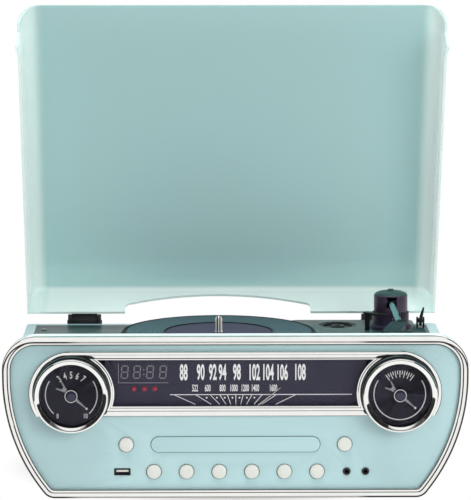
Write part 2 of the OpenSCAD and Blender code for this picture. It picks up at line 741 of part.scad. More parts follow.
// ---- electrical parts ----
module circuit_boards() color([0.1, 0.35, 0.2]) place() {
    difference() {
        union() {
            box(-board_half_w, board_half_w, board_y, board_y + board_t, board_low, mech_low - 1.5);
            both_sides() box(mech_half_w + 3, board_half_w, board_y, board_y + board_t, board_low, row1_z + 9);
        }
        box(-board_half_w - 1, -board_half_w + 3, board_y - 1, board_y + board_t + 1, 0, board_low + 3);
    }
    for (x = [-board_half_w + 6, -button_pitch, button_pitch, board_half_w - 3])
        rod_y(x, board_low + 2, 2, panel_back, board_y + 0.01);
    for (p = button_places) translate([p[0] - 3, button_end + button_travel + gap, p[1] - 3])
        cube([6, board_y - button_end - button_travel - gap + 0.01, 6]);
    box(-115, 36, cover_y1 - 110, cover_y1 - 20, foot_h + 8, foot_h + 8 + board_t);
    for (x = [-110, 31], y = [cover_y1 - 105, cover_y1 - 25]) rod_z(x, y, 3, foot_h, foot_h + 8.01);
    box(-90, -60, cover_y1 - 90, cover_y1 - 60, foot_h + 9, foot_h + 14);
    box(-40, -15, cover_y1 - 60, cover_y1 - 40, foot_h + 9, foot_h + 13);
    box(-20, 20, cover_y1 - 100, cover_y1 - 92, foot_h + 9, foot_h + 31);
    for (x = [-100, -84]) rod_z(x, cover_y1 - 36, 6, foot_h + 9, foot_h + 28);
}

module power_supply() color([0.5, 0.45, 0.4]) place() {
    box(60, 112, cover_y1 - 90, cover_y1 - 34, foot_h, foot_h + 38);
    box(70, 102, cover_y1 - 97, cover_y1 - 27, foot_h + 8, foot_h + 30);
}

module speakers() color([0.15, 0.15, 0.15]) place() both_sides()
    translate([speaker_x, speaker_y, speaker_z]) rotate([0, -90, 0]) {
        rotate_extrude($fn=96) polygon([[speaker_mouth_r - 3, 0], [speaker_r, 0], [speaker_r, 2],
            [speaker_mouth_r, 2], [19, 22], [16, 22], [16, 20], [speaker_mouth_r - 3, 2]]);
        translate([0, 0, 21.9]) cylinder(r=18, h=13);
        rotate_extrude($fn=96) polygon([[0, 9], [10, 6], [speaker_mouth_r - 4.5, 0.5], [speaker_mouth_r - 2.9, 0.5],
            [speaker_mouth_r - 2.9, 1.5], [speaker_mouth_r - 4.5, 1.5], [10, 8], [9, 22], [0, 22]]);
    }

module ferrite_antenna() color([0.25, 0.22, 0.2]) place() {
    rod_x(back_y - 9, ledge_low - 11, 5, -50, 50);
    rod_x(back_y - 9, ledge_low - 11, 7, -30, 0);
    for (x = [-44, 38]) difference() {
        box(x, x + 6, back_y - 13, back_y, ledge_low - 18, ledge_low - 4);
        rod_x(back_y - 9, ledge_low - 11, 4.5, x - 1, x + 7);
    }
}

module usb_socket() color("silver") place() difference() {
    box(-usb_x - usb_w / 2, -usb_x + usb_w / 2, panel_y - 0.5, board_y, row2_z - usb_h / 2, row2_z + usb_h / 2);
    box(-usb_x - usb_w / 2 + usb_wall, -usb_x + usb_w / 2 - usb_wall, 0, board_y - 1,
        row2_z - usb_h / 2 + usb_wall, row2_z + usb_h / 2 - usb_wall);
}

module headphone_jacks() color([0.12, 0.12, 0.13]) place() for (x = [jack_x1, jack_x2]) difference() {
    rod_y(x, row2_z, jack_r, panel_y - 1, board_y);
    rod_y(x, row2_z, jack_bore_r, 0, board_y - 1);
}

module rca_jacks() color("silver") place() {
    box(rca_x[0] - 9, rca_x[1] + 9, case_d, case_d + 1.5, rear_socket_z - 8, rear_socket_z + 8);
    for (x = rca_x) difference() {
        union() {
            rod_y(x, rear_socket_z, rca_r, case_d, case_d + 10);
            rod_y(x, rear_socket_z, 5, back_y - 8, case_d + 0.01);
        }
        rod_y(x, rear_socket_z, rca_pin_r, back_y, case_d + 11);
    }
}

module power_inlet() color([0.12, 0.12, 0.13]) place() difference() {
    union() {
        rod_y(inlet_x, rear_socket_z, 5.5, back_y - 8, case_d + 0.01);
        rod_y(inlet_x, rear_socket_z, 7, case_d, case_d + 1.5);
    }
    difference() {
        rod_y(inlet_x, rear_socket_z, inlet_bore_r, back_y - 4, case_d + 2);
        rod_y(inlet_x, rear_socket_z, 0.9, back_y - 5, case_d);
    }
}

// ---- deck and platter ----
module plateau_2d() difference() {
    rounded(plateau_x0, plateau_x1, plateau_y0, plateau_y1, 8);
    translate([spindle_x, spindle_y]) circle(r=plateau_r, $fn=128);
}

module cue_post_at() translate([arm_x + cue_r * cos(cue_post_a), arm_y + cue_r * sin(cue_post_a), 0]) children();

module deck_plate() color([0.08, 0.09, 0.1]) place() difference() {
    union() {
        box(-deck_half_w, deck_half_w, hood_d, deck_y1, deck_low, deck_z);
        along_z(deck_z - 0.01, plateau_z) plateau_2d();
        for (x = [cue_x - 4, cue_x + 4 - cue_ear_t]) {
            box(x, x + cue_ear_t, cue_y - 3.5, cue_y + 3.5, deck_z - 0.01, cue_axis_z);
            rod_x(cue_y, cue_axis_z, 3.5, x, x + cue_ear_t);
        }
    }
    rod_x(cue_y, cue_axis_z, cue_pin_r + run_fit, cue_x - 5, cue_x + 5);
    rod_z(spindle_x, spindle_y, bearing_r, 0, front_top);
    rod_z(motor_x, motor_y, 4, 0, front_top);
    rod_z(arm_x, arm_y, 10, 0, front_top);
    rod_z(adapter_x, adapter_y, adapter_r + 0.3, deck_z + gap, front_top);
    cue_post_at() cylinder(r=cue_post_r + run_fit, h=front_top);
    for (x = [speed_x, stop_x])
        box(x - switch_slot / 2, x + switch_slot / 2, switch_y - 1.5, switch_y + 1.5, 0, front_top);
    for (p = deck_screws) rod_z(p[0], p[1], screw_r, 0, front_top);
}

module platter_bearing() color("tan") place() difference() {
    union() {
        rod_z(spindle_x, spindle_y, bearing_r, deck_low - 22, deck_z + 1);
        rod_z(spindle_x, spindle_y, 16, deck_low - 3, deck_low);
    }
    rod_z(spindle_x, spindle_y, spindle_low_r, 0, front_top);
}

module spindle() color("silver") place() translate([spindle_x, spindle_y, 0]) rotate_extrude($fn=64)
    polygon(concat([[0, deck_low - 20], [spindle_low_r, deck_low - 20], [spindle_low_r, mat_top],
        [spindle_r, mat_top]],
        arc(0, spindle_top - spindle_r, spindle_r, 0, 90, 8)));

module platter() color([0.14, 0.14, 0.15]) place() translate([spindle_x, spindle_y, 0])
    rotate_extrude($fn=180) {
        translate([hub_bore_r, platter_top - platter_web]) square([platter_r - hub_bore_r, platter_web]);
        translate([hub_bore_r, hub_low]) square([5.5, platter_top - hub_low - 1]);
        translate([platter_r - 4, platter_low]) square([4, platter_t]);
        translate([drive_ring_r - 4, platter_low]) square([4, platter_t - 1]);
    }

module slipmat() color([0.09, 0.09, 0.1]) place() translate([spindle_x, spindle_y, platter_top])
    rotate_extrude($fn=180) polygon([[mat_bore_r, 0], [platter_r - 1.5, 0], [platter_r - 1.5, mat_t - 0.6],
        [platter_r - 2.5, mat_t], [53, mat_t], [52, mat_t - 0.8], [mat_bore_r, mat_t - 0.8]]);

module drive_motor() color("gray") place() {
    rod_z(motor_x, motor_y, 20, deck_low - 3, deck_low);
    rod_z(motor_x, motor_y, motor_r, deck_low - 27, deck_low - 2.99);
    rod_z(motor_x, motor_y, motor_shaft_r, deck_low - 3, platter_low + 2.9);
}

module motor_pulley() color("ivory") place() difference() {
    union() {
        rod_z(motor_x, motor_y, pulley_r, platter_low - 0.8, platter_low + 2.9);
        for (z = [platter_low - 0.8, platter_low + 2.4]) rod_z(motor_x, motor_y, pulley_r + 1.6, z, z + 0.5);
    }
    rod_z(motor_x, motor_y, motor_shaft_r + run_fit, 0, front_top);
}

module drive_belt() color([0.12, 0.12, 0.12]) place()
    along_z(platter_low + 0.1, platter_low + 2.1) difference() {
        polygon(loop_points([spindle_x, spindle_y], drive_ring_r + gap + belt_t, [motor_x, motor_y],
            pulley_r + gap + belt_t, 72));
        polygon(loop_points([spindle_x, spindle_y], drive_ring_r + gap, [motor_x, motor_y], pulley_r + gap, 72));
    }

// ---- tone arm ----
module at_arm() translate([arm_x, arm_y, 0]) children();

module tonearm_base() color([0.13, 0.12, 0.15]) place() at_arm() {
    rotate_extrude($fn=96) polygon([[0, plateau_z], [base_r + 3.5, plateau_z], [base_r + 2.5, plateau_z + 2.5],
        [base_r, plateau_z + 4], [base_r, base_top - gap], [post_r, base_top - gap], [post_r, post_top],
        [0, post_top]]);
    translate([0, 0, deck_low - 6]) cylinder(r=10, h=plateau_z - deck_low + 6.01);
    translate([0, 0, deck_low - 4]) cylinder(r=14, h=4, $fn=6);
}

module tonearm_turret() color([0.13, 0.12, 0.15]) place() at_arm() {
    difference() {
        rotate_extrude($fn=96) polygon([[0, base_top], [turret_r, base_top], [turret_r, turret_top - 1.8],
            [turret_r - 1.8, turret_top - 0.4], [turret_r - 5, turret_top], [3, turret_top + 0.2],
            [3, turret_top + 1.4], [0, turret_top + 1.4]]);
        translate([0, 0, base_top - 1]) cylinder(r=post_r + run_fit, h=post_top + gap - base_top + 1);
        box(-slot_half_w, slot_half_w, -turret_r - 1, 8, arm_z - 5, arm_z + 6.5);
    }
    rod_x(0, arm_z, pitch_pin_r, -slot_half_w - 1, slot_half_w + 1);
}

module arm_tube() color([0.8, 0.82, 0.84]) place() at_arm() translate([0, 0, arm_z]) difference() {
    union() {
        rod_y(0, 0, tube_r, -tube_len, 6);
        rod_x(0, 0, arm_hub_r, -slot_half_w + gap, slot_half_w - gap);
    }
    rod_x(0, 0, pitch_pin_r + run_fit, -slot_half_w, slot_half_w);
}

module at_head() at_arm() translate([0, -neck_at, arm_z]) rotate([0, 0, -head_a]) children();

module headshell() color([0.12, 0.12, 0.13]) place() difference() {
    at_head() {
        rotate([0, 0, head_a]) rod_y(0, 0, 4.6, -6, 0);
        along_z(-2.4, 3.2) polygon([[-4.5, 0], [4.5, 0], [head_w / 2, -16], [head_w / 2, -head_len + 4],
            [head_w / 2 - 3, -head_len], [-head_w / 2 + 3, -head_len], [-head_w / 2, -head_len + 4],
            [-head_w / 2, -16]]);
        box(head_w / 2 - 1, head_w / 2 + 11, -head_len + 12, -head_len + 16, 0.5, 2);
    }
    at_arm() rod_y(0, arm_z, tube_r, -tube_len, 6);
}

module cartridge() color([0.75, 0.12, 0.1]) place() at_head() {
    box(-6, 6, -stylus_at - 8, -stylus_at + 16, tip_z - arm_z + 3.5, -2.4);
    translate([0, -stylus_at, tip_z - arm_z]) cylinder(r1=0.3, r2=1.2, h=3.6);
}

module arm_rest() color([0.12, 0.12, 0.13]) place() translate([arm_x, arm_y - rest_at, 0]) {
    translate([3, 0, plateau_z]) cylinder(r=7, h=2);
    box(-4, 8.5, -3, 3, plateau_z, rest_z);
    box(tube_r + 1, tube_r + 4, -3, 3, rest_z - 1, arm_z + 4);
}

module cue_lift() color([0.13, 0.13, 0.14]) place() {
    cue_post_at() translate([0, 0, deck_low - 8]) cylinder(r=cue_post_r, h=cue_bar_z - deck_low + 8.01);
    at_arm() along_z(cue_bar_z, cue_bar_z + cue_bar_t) polygon(concat(
        arc(0, 0, cue_r + 3.2, 210, 276, 10), arc(0, 0, cue_r - 3.2, 276, 210, 10)));
}

module cue_lever() color([0.06, 0.06, 0.07]) place() {
    rod_x(cue_y, cue_axis_z, cue_pin_r, cue_x - 4, cue_x + 4);
    rod_x(cue_y, cue_axis_z, 2.6, cue_x - 2.2, cue_x + 2.2);
    intersection() {
        rod_x(cue_y, cue_axis_z, cue_cam_r, cue_x - cue_cam_w / 2, cue_x + cue_cam_w / 2);
        box(cue_x - cue_cam_w, cue_x + cue_cam_w, cue_y - cue_cam_r, cue_y + cue_cam_r, deck_z, cue_axis_z);
    }
    rod_z(cue_x, cue_y, 1.1, cue_axis_z, cue_top - 10);
    along_x(cue_x - 1.9, cue_x + 1.9) polygon([[cue_y - 1.1, cue_top - 11], [cue_y + 1.1, cue_top - 11],
        [cue_y + 1.5, cue_top - 9], [cue_y + 1.3, cue_top], [cue_y - 1.3, cue_top], [cue_y - 1.5, cue_top - 9]]);
}

module slide_switch(x) place() {
    box(x - 5, x + 5, switch_y - 2.6, switch_y + 2.6, plateau_z + gap, plateau_z + 2);
    box(x - 3, x + 3, switch_y - 1.8, switch_y + 1.8, plateau_z + 1.99, plateau_z + 5);
    box(x - 2.5, x + 2.5, switch_y - 1.2, switch_y + 1.2, deck_low - 4, plateau_z + 1);
}
module speed_switch() color([0.1, 0.1, 0.11]) slide_switch(speed_x);
module autostop_switch() color([0.1, 0.1, 0.11]) slide_switch(stop_x);

module adapter_45() color([0.12, 0.12, 0.13]) place() difference() {
    rod_z(adapter_x, adapter_y, adapter_r, deck_z + 2 * gap, plateau_z - 0.4);
    rod_z(adapter_x, adapter_y, 3.65, 0, front_top);
    difference() {
        rod_z(adapter_x, adapter_y, 15, plateau_z - 2.4, front_top);
        rod_z(adapter_x, adapter_y, 7, 0, front_top);
    }
}

// ---- lid, drawn closed and turned open about its hinges ----
function lid_section(i, w) = let (
    half = concat([[w - i, lid_rim_z - i]], arc(w - lid_edge_r, lid_top - lid_edge_r, lid_edge_r - i, 0, 90, 8)))
    concat(half, flipped(half));
function lid_plan(i) = let (w = lid_half_w + lid_flare, r = lid_corner_r) concat(
    [[w - i, lid_back - i], [i - w, lid_back - i]],
    arc(r - w, lid_front + r, r - i, 180, 270, 8), arc(w - r, lid_front + r, r - i, 270, 360, 8));
function lid_profile(i) = concat([[lid_front + i, lid_rim_z - 2 * i], [lid_back - i, lid_rim_z - 2 * i]],
    arc(lid_back - lid_back_r, lid_top - lid_back_r, lid_back_r - i, 0, 90, 5),
    arc(lid_front + 3, lid_top - 3, 3 - i, 90, 180, 3));

module lid_solid(i) intersection() {
    union() {
        along_y(0, case_d) polygon(lid_section(i, lid_half_w));
        for (k = [1:flare_steps]) along_y(0, flare_y + flare_len * (1 - (k - 0.5) / flare_steps))
            polygon(lid_section(i, lid_half_w + lid_flare * (1 - cos(180 * k / flare_steps)) / 2));
    }
    along_z(0, front_top + 20) polygon(lid_plan(i));
    along_x(-half_w, half_w) polygon(lid_profile(i));
}

module arch_2d() translate([arch_x, lid_rim_z]) polygon(concat(
    [[-arch_w, -1], [arch_w, -1]], arc(arch_w - 8, arch_low - 8, 8, 0, 60, 4),
    arc(0, arch_high - arch_r, arch_r, 90 - arch_a, 90 + arch_a, 16), arc(8 - arch_w, arch_low - 8, 8, 120, 180, 4)));

module opened() place() translate([0, hinge_y, hinge_z]) rotate([-lid_open, 0, 0])
    translate([0, -hinge_y, -hinge_z]) children();

module lid() color([0.65, 0.85, 0.83]) opened() difference() {
    lid_solid(0);
    lid_solid(lid_wall);
    along_y(-1, hood_d + hood_clear) polygon(outline(hood_step - hood_clear));
    box(-half_w, half_w, -1, hood_d + hood_clear, 0, hood_rim_z);
    along_y(lid_back - lid_wall - 4, lid_back + 1) arch_2d();
}

module hinge_arms() color([0.1, 0.1, 0.11]) opened() both_sides() difference() {
    union() {
        along_x(hinge_x - knuckle_half_w, hinge_x + knuckle_half_w) polygon([
            [lid_back, hinge_z + 2], [lid_back, hinge_z + 24], [lid_back + leaf_t, hinge_z + 24],
            [lid_back + leaf_t, hinge_z + 9], [hinge_y, hinge_z + knuckle_r - 0.2], [hinge_y, hinge_z - 3],
            [hinge_y - 4, hinge_z - 3]]);
        rod_x(hinge_y, hinge_z, knuckle_r, hinge_x - knuckle_half_w, hinge_x + knuckle_half_w);
    }
    rod_x(hinge_y, hinge_z, pin_r + run_fit, hinge_x - hinge_w, hinge_x + hinge_w);
}

module hinge_bases() color([0.1, 0.1, 0.11]) place() both_sides() {
    box(hinge_x - hinge_w / 2, hinge_x + hinge_w / 2, case_d, case_d + 4, hinge_z - 28, hinge_z - 9);
    for (x = [hinge_x - hinge_w / 2, hinge_x + hinge_w / 2 - ear_t]) difference() {
        union() {
            along_x(x, x + ear_t) polygon([[case_d, hinge_z - 28], [case_d + 4, hinge_z - 28],
                [hinge_y + ear_r - 0.5, hinge_z - 2], [hinge_y, hinge_z + 2], [case_d, hinge_z + 2]]);
            rod_x(hinge_y, hinge_z, ear_r, x, x + ear_t);
        }
        rod_x(hinge_y, hinge_z, pin_r, x - 1, x + ear_t + 1);
    }
    rod_x(hinge_y, hinge_z, pin_r, hinge_x - hinge_w / 2 - 1, hinge_x + hinge_w / 2 + 1);
}

cabinet_shell();
bottom_cover();
feet();
case_screws();
front_panel();
trim_ring();
dial_bezel();
dial_window();
dial_scale();
display_module();
knob_dials();
volume_pot();
tuning_capacitor();
dial_cord();
deck_plate();
platter_bearing();
spindle();
drive_motor();
drive_belt();
tonearm_base();
arm_rest();
hinge_bases();
speakers();
circuit_boards();
power_supply();
cd_mechanism();
usb_socket();
headphone_jacks();
rca_jacks();
power_inlet();
ferrite_antenna();
lid();
hinge_arms();
platter();
slipmat();
motor_pulley();
tonearm_turret();
arm_tube();
headshell();
cartridge();
cue_lever();
cue_lift();
volume_knob();
volume_lens();
tuning_knob();
tuning_lens();
dial_needle();
cd_tray();
tray_door();
speed_switch();
autostop_switch();
adapter_45();
for (i = [1:BUTTON_COUNT]) button(i - 1);
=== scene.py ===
# %% [markdown]
# # A stereo music centre, dressed in Blender
# The CAD model already holds every piece at its real size and knows how each one moves. This
# notebook loads it as a fixed frame and gives it its looks: chrome, pale teal paint, a glossy
# tinted lid, a printed radio dial. A piece whose CAD shape is right keeps it and gets a finish;
# one that shows facets or lacks detail is modelled again in the same place.

# %% Load the frame
import json
import math

import bmesh
import bpy
from bmesh.types import BMEdge, BMFace, BMVert
from mathutils import Matrix, Vector


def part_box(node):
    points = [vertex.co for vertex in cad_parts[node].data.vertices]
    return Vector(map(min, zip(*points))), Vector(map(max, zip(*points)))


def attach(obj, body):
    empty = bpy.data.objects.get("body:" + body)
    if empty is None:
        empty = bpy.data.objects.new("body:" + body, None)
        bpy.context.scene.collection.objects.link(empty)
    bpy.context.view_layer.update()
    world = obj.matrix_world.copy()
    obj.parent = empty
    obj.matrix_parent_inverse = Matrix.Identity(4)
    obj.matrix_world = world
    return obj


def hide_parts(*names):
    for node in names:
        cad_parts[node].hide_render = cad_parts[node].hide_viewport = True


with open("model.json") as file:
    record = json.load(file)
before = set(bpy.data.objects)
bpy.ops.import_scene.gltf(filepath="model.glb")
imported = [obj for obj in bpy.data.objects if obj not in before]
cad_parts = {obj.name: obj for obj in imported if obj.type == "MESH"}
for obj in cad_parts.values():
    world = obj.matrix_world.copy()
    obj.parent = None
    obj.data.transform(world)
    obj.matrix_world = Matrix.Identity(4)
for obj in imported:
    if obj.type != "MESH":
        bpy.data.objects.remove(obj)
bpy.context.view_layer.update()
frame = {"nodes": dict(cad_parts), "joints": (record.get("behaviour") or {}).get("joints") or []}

nodes = frame["nodes"]

# %% [markdown]
# ## Places and lengths
# The drawing counts in millimetres: across, behind the front of the chrome ring, and up. Keeping
# those numbers makes every size here readable, and one matrix turns a finished mesh into the
# frame's metres. The lid is drawn shut, as its maker would, and then turned open.

# %% From drawing to frame
MM = 0.001
RING_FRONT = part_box("trim_ring")[0].y
INTO_FRAME = Matrix.Translation((0, RING_FRONT, 0)) @ Matrix.Scale(MM, 4)
LID_OPEN = math.radians(67)
hinge = Vector(next(j["pos_m"] for j in frame["joints"] if j["name"] == "lid_hinge"))
OPEN_LID = (Matrix.Translation(hinge) @ Matrix.Rotation(-LID_OPEN, 4, "X")
            @ Matrix.Translation(-hinge))
KNOB_X, KNOB_Z = 151.0, 105.6
PANEL_Y = 3.5
SPINDLE = (-14.0, 212.0)
print("ring front at", round(RING_FRONT, 5), "hinge", tuple(round(v, 4) for v in hinge))

# %% [markdown]
# ## Camera
# The camera's numbers come from a fit to the photograph: a long lens, 2.6 m in front of the face,
# looking down 8.2 degrees and a little to the right. Its focal length is known in pixels of a
# picture 500 high.

# %% Camera
FOCAL_PIXELS, PICTURE_HEIGHT, SENSOR = 2919.3, 500, 36
CAMERA_X, CAMERA_AHEAD, CAMERA_Z = -0.0342, 2.6432, 0.6182
LOOK_DOWN, LOOK_RIGHT_PIXELS = 0.14246, 37.7
camera = bpy.data.objects.new("camera", bpy.data.cameras.new("camera"))
bpy.context.scene.collection.objects.link(camera)
camera.data.sensor_width = SENSOR
camera.data.lens = FOCAL_PIXELS * SENSOR / PICTURE_HEIGHT
camera.data.clip_end = 100
camera.location = (CAMERA_X, RING_FRONT - CAMERA_AHEAD, CAMERA_Z)
camera.rotation_euler = (math.pi / 2 - LOOK_DOWN, 0, -math.atan(LOOK_RIGHT_PIXELS / FOCAL_PIXELS))
bpy.context.scene.camera = camera
print("lens", round(camera.data.lens, 1), "mm")

# %% [markdown]
# ## Shader sums as plain Python
# A finish is a network of nodes. Wrapping a socket in a small class lets a sum be written as
# `1 - mask * 0.5`, and each operator adds its Math node. Every other node comes from one method:
# its type, its settings, which are set first, and then the values or links of its sockets.

# %% The wire and the network
class Wire:
    """An output socket that sums can be written on."""
    def __init__(self, network, socket):
        self.network, self.socket = network, socket

    def sum(self, operation, a, b=0.0):
        return self.network.node("ShaderNodeMath", {"operation": operation}, {0: a, 1: b})

    def __add__(self, other):
        return self.sum("ADD", self, other)

    def __radd__(self, other):
        return self.sum("ADD", other, self)

    def __sub__(self, other):
        return self.sum("SUBTRACT", self, other)

    def __rsub__(self, other):
        return self.sum("SUBTRACT", other, self)

    def __mul__(self, other):
        return self.sum("MULTIPLY", self, other)

    def __rmul__(self, other):
        return self.sum("MULTIPLY", other, self)

    def __gt__(self, other):
        return self.sum("GREATER_THAN", self, other)

    def __lt__(self, other):
        return self.sum("LESS_THAN", self, other)

    def __abs__(self):
        return self.sum("ABSOLUTE", self)


class Network:
    """The nodes of a material or of the world."""
    def __init__(self, tree):
        self.tree = tree

    def node(self, kind, settings=None, inputs=None, out=0):
        made = self.tree.nodes.new(kind)
        for name, value in (settings or {}).items():
            setattr(made, name, value)
        for name, value in (inputs or {}).items():
            self.put(made.inputs[name], value)
        return Wire(self, made.outputs[out])

    def put(self, socket, value):
        if isinstance(value, Wire):
            self.tree.links.new(value.socket, socket)
        else:
            socket.default_value = value

    def ray(self, kind):
        return self.node("ShaderNodeLightPath", out=f"Is {kind} Ray")

    def looked_at(self):
        """1 where the eye looks: straight, in a mirror or through clear plastic."""
        return self.node("ShaderNodeMath", {"operation": "ADD", "use_clamp": True},
                         {0: self.ray("Camera") + self.ray("Glossy"), 1: self.ray("Transmission")})


# %% [markdown]
# ## One class for every finish
# A finish starts from one Principled shader. Its methods are the few steps that all finishes
# share: a noise of a real size, two close colours mixed by it, an uneven roughness, a fine relief,
# and soft masks over the drawing's own millimetres, so that a colour can change at a real place.

# %% The finish
finishes = {}


def tone(colour):
    """A colour as seen on screen, 0 to 255, into the linear values that shaders count in."""
    def linear(c):
        c = c / 255
        return c / 12.92 if c <= 0.04045 else ((c + 0.055) / 1.055) ** 2.4
    return (*(linear(c) for c in colour), 1.0)


class Finish(Network):
    """A material with one Principled shader, whose constants are set on its own sockets."""
    def __init__(self, name, colour=None, **constants):
        self.material = bpy.data.materials.new(name)
        self.material.use_nodes = True
        super().__init__(self.material.node_tree)
        self.shader = self.tree.nodes["Principled BSDF"]
        if colour:
            self.feed("Base Color", tone(colour))
        for socket, value in constants.items():
            self.feed(socket.replace("_", " "), value)
        finishes[name] = self.material
        print("finish:", name)

    def feed(self, socket, value):
        self.put(self.shader.inputs[socket], value)

    def place(self, scale=(1, 1, 1), shift=(0, 0, 0)):
        spot = self.node("ShaderNodeTexCoord", out="Object")
        return self.node("ShaderNodeMapping", None,
                         {"Vector": spot, "Scale": scale, "Location": shift})

    def drawn(self, across=0.0, behind=0.0):
        """The place in the drawing's millimetres, counted from a point of the plan."""
        return self.place((1 / MM,) * 3, (-across, -behind - RING_FRONT / MM, 0))

    def along(self, axis):
        """One of the drawing's three numbers."""
        return self.node("ShaderNodeSeparateXYZ", None, {0: self.drawn()}, axis)

    def length(self, vector):
        return self.node("ShaderNodeVectorMath", {"operation": "LENGTH"}, {0: vector}, "Value")

    def between(self, value, low, high):
        """A soft mask: 0 at low, 1 at high."""
        return self.node("ShaderNodeMapRange", {"interpolation_type": "SMOOTHSTEP"},
                         {"Value": value, "From Min": low, "From Max": high})

    def noise(self, size, detail, stretch=(1, 1, 1)):
        """A noise whose grain is about size millimetres across."""
        scale = tuple(1 / MM / size * s for s in stretch)
        return self.node("ShaderNodeTexNoise", None,
                         {"Vector": self.place(scale), "Scale": 1.0, "Detail": detail}, "Fac")

    def blend(self, mask, a, b):
        """Colour a where the mask is 0 and b where it is 1. Plain colours are screen values."""
        a, b = (colour if isinstance(colour, Wire) else tone(colour) for colour in (a, b))
        return self.node("ShaderNodeMix", {"data_type": "RGBA"}, {0: mask, 6: a, 7: b}, 2)

    def mottle(self, size, detail, a, b):
        return self.blend(self.noise(size, detail), a, b)

    def uneven(self, size, detail, span, least, stretch=(1, 1, 1)):
        return self.noise(size, detail, stretch) * span + least

    def relief(self, size, depth, strength, stretch=(1, 1, 1)):
        """A fine relief that only bends the light."""
        self.feed("Normal", self.node("ShaderNodeBump", None, {
            "Height": self.noise(size, 2, stretch), "Distance": depth * MM, "Strength": strength}))


# %% [markdown]
# ## Plastics and metals
# Nothing real has one flat colour. Moulded plastic has a faint grain, steel is brushed, and chrome
# carries fine wiping marks that only its roughness shows. Two short functions cover these, each
# with its detail at real scale. A finish that changes from place to place has its own cell below.

# %% Plastics and metals
def moulded(name, colour, roughness, grain, spread, gloss=0.5):
    f = Finish(name, Specular_IOR_Level=gloss)
    lighter = tuple(min(255, c + spread) for c in colour)
    f.feed("Base Color", f.mottle(25, 4, colour, lighter))
    f.feed("Roughness", f.uneven(3, 4, 0.16, roughness - 0.08))
    f.relief(0.5, grain, 0.6)


def metal(name, colour, roughness, stretch=(1, 1, 1), wear=0.05, grain=0.004, size=1.2):
    f = Finish(name, Metallic=1.0)
    darker = tuple(c * 0.93 for c in colour)
    f.feed("Base Color", f.mottle(30, 3, colour, darker))
    f.feed("Roughness", f.uneven(size, 3, wear * 2, roughness - wear, stretch))
    f.relief(size, grain, 0.4, stretch)


metal("chrome", (250, 250, 247), 0.07, wear=0.03, grain=0.002, size=6)
metal("steel", (196, 196, 194), 0.28, (1, 1, 9))
metal("bright steel", (214, 212, 208), 0.12, (1, 1, 6), 0.03)
metal("zinc", (150, 151, 152), 0.45, wear=0.1, size=4)
# Painted reflection: the silver tube is tinted teal for the teal lid it mirrors.
metal("brushed tube", (168, 214, 218), 0.3, (6, 0.4, 6), 0.06)
metal("pointer grey", (176, 176, 190), 0.3, wear=0.06)
metal("bronze", (190, 148, 92), 0.35)
moulded("arm black", (36, 30, 50), 0.4, 0.012, 6, 0.3)
moulded("head black", (30, 50, 52), 0.6, 0.012, 8, 0.15)
# Painted shade: three dark finishes for the shade and dark reflections in gaps, grooves and mouths.
moulded("seam black", (30, 27, 26), 0.5, 0.0, 6)
moulded("painted shade grey", (120, 122, 118), 0.5, 0.0, 12)
moulded("painted shade green", (58, 74, 70), 0.5, 0.0, 8)
# Painted reflection: the hub's chrome dome is coloured dark blue for the dark it mirrors.
moulded("boss reflection blue", (36, 36, 58), 0.08, 0.0, 8)
moulded("satin black", (26, 26, 28), 0.42, 0.02, 5)
moulded("rubber", (24, 24, 25), 0.62, 0.06, 7)
moulded("dial black", (44, 42, 64), 0.5, 0.006, 4)
moulded("dial white", (255, 255, 255), 0.55, 0.004, 0)
moulded("dial grey", (136, 134, 140), 0.5, 0.004, 8)
moulded("ivory", (209, 211, 204), 0.3, 0.006, 5)
moulded("board green", (24, 84, 52), 0.4, 0.05, 18)
moulded("copper brown", (104, 62, 38), 0.45, 0.1, 30)
moulded("ferrite", (52, 48, 46), 0.6, 0.08, 10)
moulded("cord tan", (182, 164, 118), 0.7, 0.08, 25)

# %% [markdown]
# ## Paint of the front and the cabinet
# Both are the same sprayed teal with a faint orange peel. Above a set height the hood's top is
# painted nearly white, a painted highlight for the strong light that falls on it from above. A
# second object could carry that paler colour, but a mask by height keeps the hood in one piece.

# %% Paints
PEEL, HOOD_HIGHLIGHT = 1.6, (155.5, 157.8)
f = Finish("panel paint", Coat_Weight=0.15, Coat_Roughness=0.06, Specular_IOR_Level=0.35)
f.feed("Base Color", f.mottle(90, 3, (176, 206, 208), (171, 202, 205)))
f.feed("Roughness", f.uneven(7, 3, 0.08, 0.38))
f.relief(PEEL, 0.01, 0.5)

f = Finish("cabinet paint", Coat_Weight=0.25, Coat_Roughness=0.06, Specular_IOR_Level=0.3)
teal = f.mottle(90, 3, (173, 208, 210), (168, 204, 207))
# Painted highlight: the hood's top turns nearly white above this height.
f.feed("Base Color", f.blend(f.between(f.along("Z"), *HOOD_HIGHLIGHT), teal, (238, 253, 253)))
f.feed("Roughness", f.uneven(7, 3, 0.08, 0.28))
f.relief(PEEL, 0.02, 0.5)

# %% [markdown]
# ## The lid's tinted plastic
# The lid is glossy and lets some light through. Its middle looks dense, while the white behind it
# shows through its side walls and rounded corners, which look lighter. A varying alpha under the
# gloss gives part of that, and it still works when the finish is exported. The rest is painted
# light and shade: the sides and the foot by the hinges are painted paler for the white shining
# through them, and the body is painted darker towards the top of the opened lid.

# %% Lid plastic
LID_SIDE, LID_FOOT, LID_PAINTED_SHADE = (187, 201), (148, 143), (200, 450)
f = Finish("lid plastic", Coat_Weight=0.25, Coat_Roughness=0.05, Specular_IOR_Level=0.4)
# Painted light: the sides and corners, and the foot by the hinges, are painted paler.
side = f.between(abs(f.along("X")), *LID_SIDE)
foot = f.between(f.along("Z"), *LID_FOOT)
# Painted shade: the body darkens towards the top of the opened lid.
body = f.blend(f.between(f.along("Z"), *LID_PAINTED_SHADE), (196, 234, 233), (173, 209, 208))
body = f.blend(f.noise(160, 3) * 0.3, body, (180, 218, 216))
f.feed("Base Color", f.blend(side, f.blend(foot, body, (240, 255, 251)), (212, 247, 241)))
f.feed("Alpha", 0.92 - side * 0.46)
f.feed("Roughness", f.uneven(40, 4, 0.06, 0.09))
f.relief(30, 0.02, 0.3)
